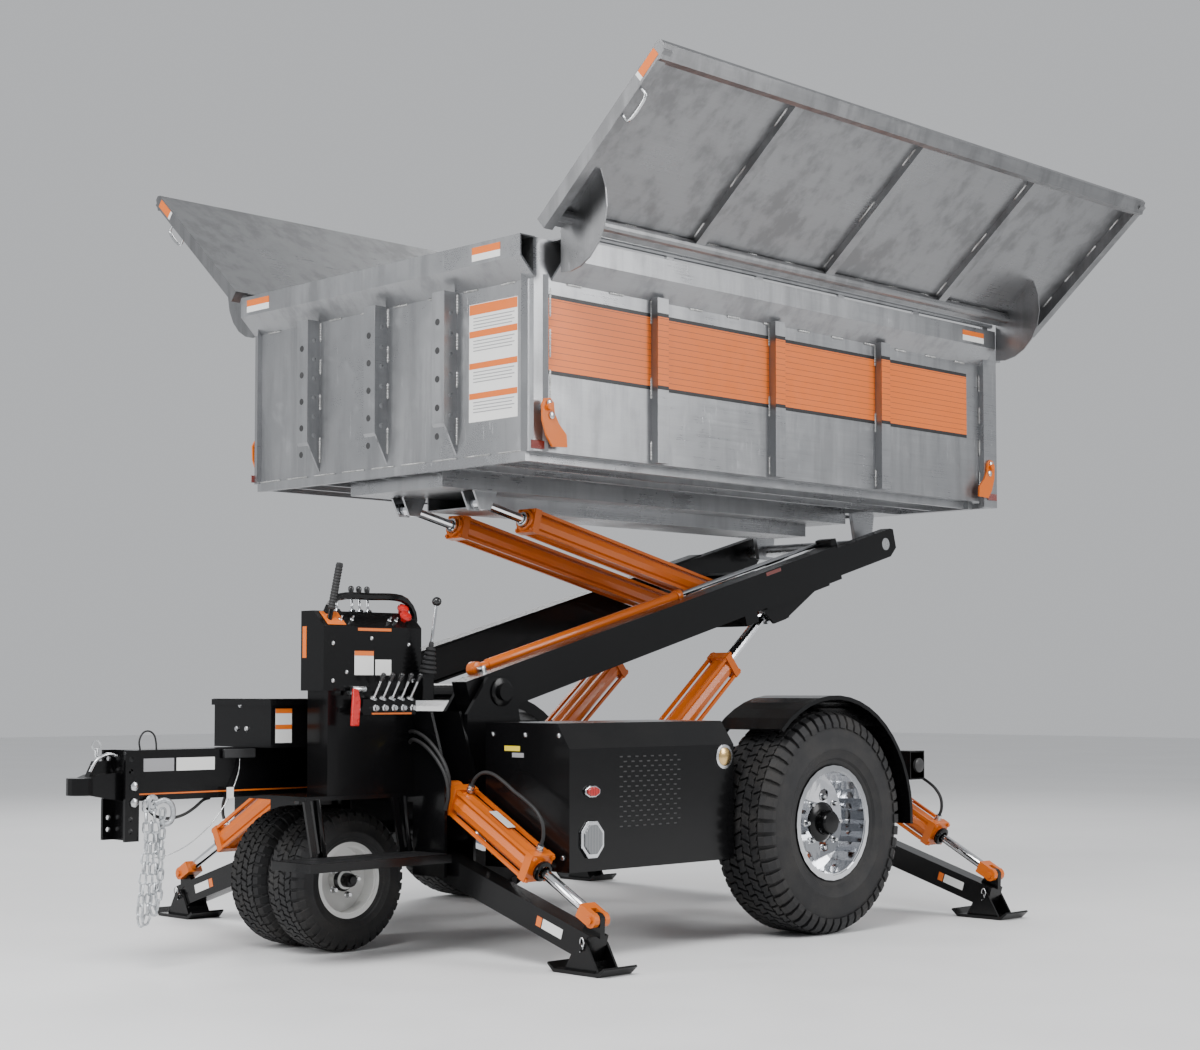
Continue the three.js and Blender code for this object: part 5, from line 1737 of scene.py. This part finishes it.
@dataclass
class Drawbar:
    """Hitch details, chain, cables, labels and toolbox fittings."""

    front: float = -2.430
    top: float = 0.735

    def link(self, centre: Vector, turn: float, length: float = 0.046, wide: float = 0.030,
            wire: float = 0.0042) -> Piece:
        """One chain link, hanging upright.

        Args:
            centre: its middle.
            turn: its turn about the vertical, in radians.
            length: outside length.
            wide: outside width.
            wire: the bar's radius.

        Returns:
            The link.
        """
        r = wide / 2 - wire
        h = length / 2 - wire - r
        points = []
        for k in range(12):
            a = math.tau * k / 12
            z = math.sin(a) * r + (h if math.sin(a) >= 0 else -h)
            points.append(Vector((math.cos(a) * r, 0, z)))
        points.append(points[0])
        piece = pipe(points, wire, 1, 1)
        mend(piece, 1e-4)
        piece.data.transform(Matrix.Translation(centre) @ Matrix.Rotation(turn, 4, "Z"))
        return smooth(piece, 60)

    def run(self, points: Sequence[Point], seed: float) -> list[Piece]:
        """Links along a curve, each turned a quarter from the last.

        Args:
            points: the curve's points.
            seed: the first link's turn.

        Returns:
            The links.
        """
        line = curved(points, 24)
        out, travelled, count = [], 0.0, 0
        for a, b in zip(line, line[1:]):
            travelled += (b - a).length
            if travelled >= 0.0345 * count + 0.01:
                way = (b - a).normalized()
                one = self.link(Vector((0, 0, 0)), seed + (math.pi / 2 if count % 2 else 0.0))
                one.data.transform(Matrix.Translation(a) @ aim(way))
                out.append(one)
                count += 1
        return out

    def chains(self) -> None:
        """The two safety chains with their hook, in place of the frame's plain one."""
        top = 0.552
        runs = self.run([at(-2.405, -0.078, top), at(-2.412, -0.092, 0.42), at(-2.424, -0.088, 0.28),
                at(-2.434, -0.094, 0.175),
                         at(-2.424, -0.102, 0.158), at(-2.406, -0.098, 0.20), at(-2.396, -0.090,
                                 0.34), at(-2.388, -0.084, 0.49)], 0.3)
        runs += self.run([at(-2.380, -0.080, top), at(-2.374, -0.096, 0.44), at(-2.380, -0.100, 0.30),
                at(-2.392, -0.104, 0.21), at(-2.380, -0.108, 0.20),
                          at(-2.366, -0.104, 0.28), at(-2.356, -0.098, 0.42), at(-2.350, -0.094,
                                  0.53)], 1.0)
        hook = pipe([at(-2.372, -0.086, 0.556), at(-2.350, -0.100, 0.566), at(-2.322, -0.102, 0.552),
                at(-2.312, -0.100, 0.520), at(-2.322, -0.098, 0.492),
                     at(-2.346, -0.098, 0.486), at(-2.358, -0.098, 0.502)], 0.0095, 6, 3)
        eye = turned([(0.010, -0.006), (0.022, -0.006), (0.026, 0.0), (0.022, 0.006), (0.010, 0.006)],
                at(-2.382, -0.080, 0.560), (0, 1, 0), 24)
        fit(united([*runs, hook, eye]), "safety_chains", Palette.ZINC, "chassis", Slot.ZINC,
                "safety_chain")

    def cables(self) -> None:
        """The breakaway wire with its tag, the thick lead under the beam and the wire loop on top."""
        y = -0.0665
        laid([at(-2.02, y, 0.720), at(-2.03, y - 0.010, 0.66), at(-2.055, y - 0.016, 0.60), at(-2.09,
                y - 0.020, 0.545),
                     at(-2.16, y - 0.024, 0.470), at(-2.24, y - 0.028, 0.415), at(-2.32, y - 0.028,
                             0.382), at(-2.392, y - 0.024, 0.372)], 0.0018, "breakaway_wire",
                             Palette.STEEL)
        tag = block(at(-2.088, y - 0.024, 0.560), at(-2.060, y - 0.020, 0.600), 0.001)
        fit(tag, "breakaway_tag", Palette.WHITE_FILM, "chassis", Slot.WHITE)
        holder = block(at(-2.090, y - 0.012, 0.700), at(-1.960, y + 0.004, 0.732), 0.003)
        fit(holder, "breakaway_switch", Palette.BLACK_PLASTIC, "chassis", Slot.BLACK)
        laid([at(-2.395, -0.070, 0.540), at(-2.36, -0.062, 0.512), at(-2.30, -0.050, 0.500), at(-2.24,
                -0.044, 0.508), at(-2.19, -0.040, 0.530), at(-2.15, -0.036, 0.556), at(-2.12, -0.030,
                0.562)], 0.0055, "lighting_lead", Palette.HOSE)
        laid([at(-2.40, -0.030, 0.733), at(-2.405, -0.032, 0.765), at(-2.392, -0.034, 0.792), at(-2.370,
                -0.036, 0.798), at(-2.350, -0.036, 0.785), at(-2.342, -0.036, 0.760), at(-2.340, -0.036,
                0.733)], 0.0031, "wire_loop", Palette.HOSE)

    def build(self) -> None:
        """Builds the towing end."""
        self.chains()
        self.cables()
        y = -0.0608
        fit(slab(-2.425, -1.600, y, -0.0598, 0.584, 0.589, 0.0), "drawbar_pinstripe",
                Palette.ORANGE_FILM, "chassis", Slot.ORANGE)
        fit(slab(-2.405, -2.285, y, -0.0598, 0.662, 0.706, 0.0), "maker_plate", Palette.GREY_FILM,
                "chassis", Slot.ZINC)
        fit(slab(-2.275, -2.120, y, -0.0598, 0.662, 0.706, 0.0), "data_plate", Palette.WHITE_FILM,
                "chassis", Slot.WHITE)
        x = -1.9644
        fit(slab(-1.945, -1.875, -0.1728, -0.1718, 0.752, 0.872, 0.0), "toolbox_notice",
                Palette.WHITE_FILM, "chassis", Slot.WHITE)
        bars = [slab(-1.945, -1.875, -0.1734, -0.1729, z, z + 0.016, 0.0) for z in (0.856, 0.800)]
        fit(united(bars), "toolbox_notice_bars", Palette.ORANGE_FILM, "chassis", Slot.ORANGE)
        fit(slab(-1.968, -1.568, -0.176, 0.176, 0.9052, 0.9068, 0.0006), "toolbox_tread", Palette.TREAD,
                "chassis", Slot.BLACK)
        bolt = turned([(0.0, 0.0), (0.010, 0.0), (0.010, 0.004), (0.007, 0.007), (0.0, 0.0075)],
                at(-1.9645, 0.03, 0.800), (-1, 0, 0), 8)
        more = [copied(bolt, Matrix.Translation(Vector(d))) for d in ((0, -0.06, 0), (0, -0.02, 0.085))]
        fit(united([bolt, *more]), "toolbox_bolts", Palette.STEEL, "chassis", Slot.ZINC)
        pin = rod(at(-2.550, 0, 0.650), at(-2.550, 0, 0.742), 0.006, 16)
        ring = turned([(0.014, -0.002), (0.018, -0.002), (0.018, 0.002), (0.014, 0.002)], at(-2.550, 0,
                0.752), (0, 1, 0), 24)
        handle = pipe([at(-2.585, -0.020, 0.665), at(-2.560, -0.022, 0.705), at(-2.520, -0.022, 0.722),
                at(-2.485, -0.020, 0.715)], 0.006, 5, 2)
        fit(united([pin, ring, handle]), "coupler_latch", Palette.STEEL, "chassis", Slot.ZINC)
        plugs = [turned([(0.0, 0.0), (0.016, 0.0), (0.016, 0.006), (0.011, 0.009), (0.0, 0.010)],
                at(-2.452, -0.0765, z), (0, -1, 0), 6) for z in (0.560, 0.615)]
        fit(united(plugs), "coupler_bolts", Palette.STEEL, "chassis", Slot.ZINC)


# ---------------------------------------------------------------- console


@dataclass
class Console:
    """Levers, knobs, valves and labels on the control console."""

    near: float = -0.360
    front: float = -1.880
    rear: float = -1.440
    top: float = 1.215

    def lever(self, foot: Vector, tip: Vector, shaft: float, knob: float) -> tuple[list[Piece], Piece]:
        """A lever: its chrome shaft and boot ring, and its black knob.

        Args:
            foot: where it leaves the console.
            tip: the knob's top.
            shaft: the shaft's radius.
            knob: the knob's radius.

        Returns:
            The bright pieces and the knob.
        """
        way = (tip - foot).normalized()
        stem = rod(foot, tip - way * knob, shaft, 16, 0.0005)
        ring = turned([(shaft, 0.0), (shaft * 3.2, 0.0), (shaft * 2.8, 0.006), (shaft * 1.2, 0.011),
                (shaft, 0.011)], foot, way, 20)
        profile = [(0.0, -knob * 2.6), (knob * 0.55, -knob * 2.6), (knob * 0.75, -knob * 1.6),
                (knob * 0.98, -knob * 0.6), (knob, 0.0), (knob * 0.85, knob * 0.5), (knob * 0.45,
                knob * 0.82), (0.0, knob * 0.9)]
        return [stem, ring], turned(profile, tip, way, 20)

    def upper(self) -> None:
        """The four tall levers behind the hoop."""
        bright, knobs = [], []
        for x in (-1.757, -1.690, -1.655, -1.618):
            foot = at(x, -0.275, self.top)
            parts, knob = self.lever(foot, at(x + 0.004, -0.262, 1.300), 0.0045, 0.0105)
            bright += parts
            knobs.append(knob)
        fit(united(bright), "upper_lever_shafts", Palette.CHROME, "chassis", Slot.CHROME)
        fit(united(knobs), "upper_lever_knobs", Palette.KNOB, "chassis", Slot.BLACK)

    def lower(self) -> None:
        """The bank of valve levers on the near face with their fittings."""
        bright, knobs = [], []
        for k in range(5):
            x = -1.690 + 0.042 * k
            foot = at(x, self.near - 0.036, 0.905)
            parts, knob = self.lever(foot, at(x + 0.018, self.near - 0.072, 0.990), 0.0048, 0.0095)
            bright += parts
            knobs.append(knob)
            bright.append(turned([(0.0, 0.0), (0.013, 0.0), (0.013, 0.010), (0.009, 0.013), (0.009,
                    0.020), (0.0, 0.020)], at(x, self.near - 0.042, 0.874), (0, -1, 0), 6))
        for z in (0.868, 0.940):
            bright.append(rod(at(-1.775, self.near - 0.024, z), at(-1.715, self.near - 0.024, z), 0.011,
                    16, 0.002))
        fit(united(bright), "valve_lever_shafts", Palette.STEEL, "chassis", Slot.ZINC)
        fit(united(knobs), "valve_lever_knobs", Palette.KNOB, "chassis", Slot.BLACK)
        handle = drawn([at(-1.800, self.near - 0.046, 0.812), at(-1.768, self.near - 0.046, 0.812),
                at(-1.762, self.near - 0.046, 0.900), at(-1.772, self.near - 0.046, 0.940), at(-1.792,
                self.near - 0.046, 0.944)], (0, -0.014, 0), 0.004, 3)
        fit(handle, "red_handle", Palette.RED, "chassis", Slot.ORANGE)
        pivot = rod(at(-1.780, self.near + 0.004, 0.926), at(-1.780, self.near - 0.050, 0.926), 0.008,
                16, 0.001)
        strip = slab(-1.700, -1.520, self.near - 0.0430, self.near - 0.0418, 0.8515, 0.8575, 0.0)
        fit(strip, "valve_strip", Palette.ORANGE_FILM, "chassis", Slot.ORANGE)
        fit(pivot, "red_handle_pivot", Palette.STEEL, "chassis", Slot.ZINC)

    def tall(self) -> None:
        """The ribbed grip lever at the front and the ball lever with its bellows at the rear."""
        foot, tip = at(-1.845, -0.330, 1.130), at(-1.800, -0.345, 1.384)
        way = (tip - foot).normalized()
        stem = rod(foot, tip - way * 0.06, 0.009, 20, 0.001)
        fit(stem, "grip_lever_shaft", Palette.BLACK, "chassis", Slot.BLACK)
        rings = [(0.010, 0.0)]
        for k in range(14):
            a = 0.004 + k * 0.0105
            rings += [(0.0125, a), (0.0138, a + 0.003), (0.0125, a + 0.0075), (0.0115, a + 0.009)]
        rings += [(0.0135, 0.155), (0.011, 0.166), (0.0, 0.168)]
        fit(turned([(0.0, 0.0), *rings], tip - way * 0.168, way, 24), "grip_lever_grip", Palette.GRIP,
                "chassis", Slot.BLACK)
        foot, tip = at(-1.452, self.near - 0.040, 0.945), at(-1.436, self.near - 0.080, 1.255)
        way = (tip - foot).normalized()
        fit(rod(foot, tip, 0.0055, 20, 0.0005), "ball_lever_shaft", Palette.CHROME, "chassis",
                Slot.CHROME)
        fit(ball(tip, 0.0175, 0.95), "ball_lever_knob", Palette.KNOB, "chassis", Slot.BLACK)
        folds = [(0.007, 0.0)]
        for k in range(6):
            a = 0.006 + 0.0165 * k
            r = 0.032 - 0.0028 * k
            folds += [(r, a), (r, a + 0.005), (r - 0.009, a + 0.011)]
        folds += [(0.009, 0.112), (0.0065, 0.118), (0.0, 0.118)]
        fit(turned([(0.0, 0.0), *folds], foot + way * 0.050, way, 28), "ball_lever_bellows",
                Palette.GRIP, "chassis", Slot.BLACK)
        bracket = drawn([at(-1.478, self.near + 0.002, 0.900), at(-1.426, self.near + 0.002, 0.900),
                at(-1.426, self.near + 0.002, 1.000), at(-1.478, self.near + 0.002, 1.000)], (0, -0.058,
                0), 0.003, 2)
        fit(bracket, "ball_lever_box", Palette.BLACK, "chassis", Slot.BLACK)

    def knobs(self) -> None:
        """The red mushroom buttons and the small switches on the sloped top."""
        profile = [(0.0, 0.0), (0.011, 0.0), (0.011, 0.012), (0.021, 0.014), (0.023, 0.020), (0.019,
                0.028), (0.008, 0.032), (0.0, 0.0325)]
        up = Vector((0, -0.68, 0.73))
        spots = ((-1.500, -0.330, 1.188), (-1.488, -0.300, 1.216))
        red = [turned(profile, at(*s), up, 24) for s in spots]
        fit(united(red), "red_buttons", Palette.RED, "chassis", Slot.ORANGE)
        small = [turned([(0.0, 0.0), (0.008, 0.0), (0.008, 0.004), (0.005, 0.006), (0.004, 0.018), (0.0,
                0.019)], at(x, -0.335, 1.184), up, 16) for x in (-1.79, -1.74, -1.57, -1.54)]
        fit(united(small), "toggle_switches", Palette.STEEL, "chassis", Slot.ZINC)

    def labels(self) -> None:
        """Blank labels and orange strips on the console's faces."""
        y = self.near
        fit(slab(-1.745, -1.660, y - 0.0010, y + 0.0002, 0.990, 1.075, 0.0), "console_notice",
                Palette.WHITE_FILM, "chassis", Slot.WHITE)
        fit(slab(-1.745, -1.660, y - 0.0015, y - 0.0009, 1.058, 1.075, 0.0), "console_notice_bar",
                Palette.ORANGE_FILM, "chassis", Slot.ORANGE)
        fit(slab(-1.652, -1.580, y - 0.0010, y + 0.0002, 0.990, 1.045, 0.0), "console_chart",
                Palette.WHITE_FILM, "chassis", Slot.WHITE)
        fit(slab(-1.730, -1.580, y - 0.0010, y + 0.0002, 1.146, 1.156, 0.0), "console_strip",
                Palette.ORANGE_FILM, "chassis", Slot.ORANGE)
        slope = [at(-1.86, -0.357, 1.1645), at(-1.78, -0.357, 1.1645), at(-1.78, -0.305, 1.2115),
                at(-1.86, -0.305, 1.2115)]
        fit(drawn([p + Vector((0, -0.0006, 0.0006)) for p in slope], (0, -0.0006, 0.0008), 0.0),
                "slope_label_front", Palette.ORANGE_FILM, "chassis", Slot.ORANGE)
        strips = [slab(x0, x1, -0.262, -0.240, self.top - 0.0002, self.top + 0.0008, 0.0) for x0,
                x1 in ((-1.74, -1.70), (-1.66, -1.60), (-1.56, -1.50))]
        fit(united(strips), "top_strips", Palette.ORANGE_FILM, "chassis", Slot.ORANGE)
        fit(slab(self.front - 0.0010, self.front + 0.0002, -0.262, -0.240, 1.050, 1.160, 0.0),
                "console_side_label", Palette.ORANGE_FILM, "chassis", Slot.ORANGE)
        bolt = turned([(0.0, 0.0), (0.0075, 0.0), (0.0075, 0.003), (0.005, 0.005), (0.0, 0.0055)],
                at(-1.84, y - 0.0002, 1.10), (0, -1, 0), 8)
        spots = ((0.0, -0.13), (0.34, 0.0), (0.36, -0.13), (0.17, 0.02), (0.06, -0.10))
        fit(united([bolt, *[copied(bolt, Matrix.Translation((dx, 0, dz))) for dx, dz in spots]]),
                "console_bolts", Palette.STEEL, "chassis", Slot.ZINC)

    def build(self) -> None:
        """Builds everything on the console."""
        self.upper()
        self.lower()
        self.tall()
        self.knobs()
        self.labels()


# ---------------------------------------------------------------- covers, fenders and step


@dataclass
class Covers:
    """Grilles, lamps, caps and films on the side covers, fenders, crossbar and step."""

    face: float = 0.990
    front: float = -1.305

    def grille(self) -> None:
        """Rows of short slots on the near cover's side."""
        slots = []
        pattern = slab(-0.0, 0.016, -self.face - 0.0016, -self.face + 0.0004, 0.0, 0.005, 0.0006)
        for i in range(8):
            for j in range(15):
                x, z = -1.06 + 0.040 * i + (0.020 if j % 2 else 0.0), 0.455 + 0.0175 * j
                slots.append(copied(pattern, Matrix.Translation((x, 0, z))))
        bpy.data.objects.remove(pattern)
        fit_pair(united(slots), "cover_louvres", Palette.BLACK_PLASTIC, ("chassis", "chassis"),
                Slot.BLACK)

    def lamps(self) -> None:
        """The marker lamp, the eight sided headlamp and the filler cap."""
        ring = [(math.cos(math.radians(22.5 + 45 * k)), math.sin(math.radians(22.5 + 45 * k)))
                for k in range(8)]
        lamps = (("marker", 0.586, 0.040, 0.022, Palette.RED_LENS), ("head_lamp", 0.420, 0.060, 0.070,
                Palette.CLEAR_LENS))
        pair = ("chassis", "chassis")
        for name, z, wide, tall, lens in lamps:
            outer = [at(-1.200 + a * wide, -self.face - 0.0002, z + b * tall) for a, b in ring]
            inner = [at(-1.200 + a * wide * 0.78, -self.face - 0.0095, z + b * tall * 0.78) for a,
                    b in ring]
            fit_pair(drawn(outer, (0, -0.010, 0), 0.0035, 3), f"{name}_bezel", Palette.CHROME, pair,
                    Slot.CHROME)
            fit_pair(drawn(inner, (0, -0.006, 0), 0.0035, 3), f"{name}_lens", lens, pair, Slot.CHROME)
        y, z = -self.face, 0.690
        cap = turned([(0.0, 0.0), (0.034, 0.0), (0.034, 0.008), (0.028, 0.012), (0.0, 0.014)], at(-0.505,
                y, z), (0, -1, 0), 40)
        collar = turned([(0.034, 0.0), (0.045, 0.0), (0.045, 0.004), (0.036, 0.006), (0.034, 0.006)],
                at(-0.505, y, z), (0, -1, 0), 40)
        fit_pair(cap, "filler_cap", Palette.GOLD, ("chassis", "chassis"), Slot.ZINC)
        fit_pair(collar, "filler_ring", Palette.STEEL, ("chassis", "chassis"), Slot.ZINC)

    def films(self) -> None:
        """Small coloured labels and the crossbar lamps."""
        x = self.front
        fit_pair(slab(x - 0.0010, x + 0.0002, -0.740, -0.660, 0.722, 0.740, 0.0), "cover_tag",
                Palette.YELLOW_TAG, ("chassis", "chassis"), Slot.ORANGE)
        fit_pair(slab(x - 0.0012, x - 0.0002, -0.760, -0.700, 0.700, 0.716, 0.0), "cover_tag_dark",
                Palette.GREY_FILM, ("chassis", "chassis"), Slot.BLACK)
        bolt = turned([(0.0, 0.0), (0.009, 0.0), (0.009, 0.004), (0.006, 0.006), (0.0, 0.0065)],
                at(x - 0.0002, -0.60, 0.78), (-1, 0, 0), 8)
        spots = [(0, -0.34, 0), (0, -0.36, -0.42), (0, 0.0, -0.42), (0, -0.17, 0)]
        fit_pair(united([bolt, *[copied(bolt, Matrix.Translation(Vector(s))) for s in spots]]),
                "cover_bolts", Palette.STEEL, ("chassis", "chassis"), Slot.ZINC)
        lamp = turned([(0.0, 0.0), (0.030, 0.0), (0.030, 0.012), (0.022, 0.016), (0.0, 0.017)], at(0.80,
                -0.9202, 0.622), (0, -1, 0), 24)
        fit_pair(lamp, "crossbar_lamp", Palette.BLACK_PLASTIC, ("chassis", "chassis"), Slot.BLACK)

    def step(self) -> None:
        """Tread film on the step and black stays between it and the frame."""
        low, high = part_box("platform")
        plate = block((low[0] + 0.012, low[1] + 0.012, 0.3602), (high[0] - 0.012, high[1] - 0.020,
                0.3612), 0.0003)
        fit(plate, "step_tread", Palette.TREAD, "chassis", Slot.BLACK)
        stays = [rod(at(-1.878, -0.372, 0.362), at(-1.905, -0.366, 0.560), 0.009, 20),
                rod(at(-1.500, -0.372, 0.362), at(-1.520, -0.366, 0.560), 0.009, 20)]
        fit(united(stays), "step_stays", Palette.BLACK, "chassis", Slot.BLACK)

    def build(self) -> None:
        """Builds the pieces on the covers, the crossbar and the step."""
        self.grille()
        self.lamps()
        self.films()
        self.step()


@dataclass
class RibHoles:
    """Round stake holes down the front ribs, drawn as thin black discs: painted shade inside the holes."""

    ribs: tuple[float, ...] = (-0.420, -0.020, 0.400)
    face: float = -1.3925

    def build(self) -> None:
        """Builds one dark ring of holes on each rib; the black discs are painted shade."""
        for k, y in enumerate(self.ribs):
            holes = [turned([(0.0, 0.0), (0.0125, 0.0), (0.0115, 0.0008), (0.0, 0.0008)], at(self.face,
                    y + 0.034, 1.86 + 0.105 * j), (-1, 0, 0), 24)
                     for j in range(5)]
            # The discs take the black plastic finish; their black is the painted shade inside the holes.
            fit(united(holes), f"rib_holes_{k}", Palette.BLACK_PLASTIC, "dump_box", Slot.BLACK)


def main() -> None:
    """Builds the studio, dresses the frame and adds every piece."""
    logging.basicConfig(level=logging.INFO, format="%(name)s: %(message)s")
    Studio().build()
    Drawbar().build()
    Outriggers().build()
    Hoses().build()
    Dressing().build()
    Wheels().build()
    DumpBox().build()
    RibHoles().build()
    Wings().build()
    Console().build()
    Covers().build()


if __name__ == "__main__":
    main()
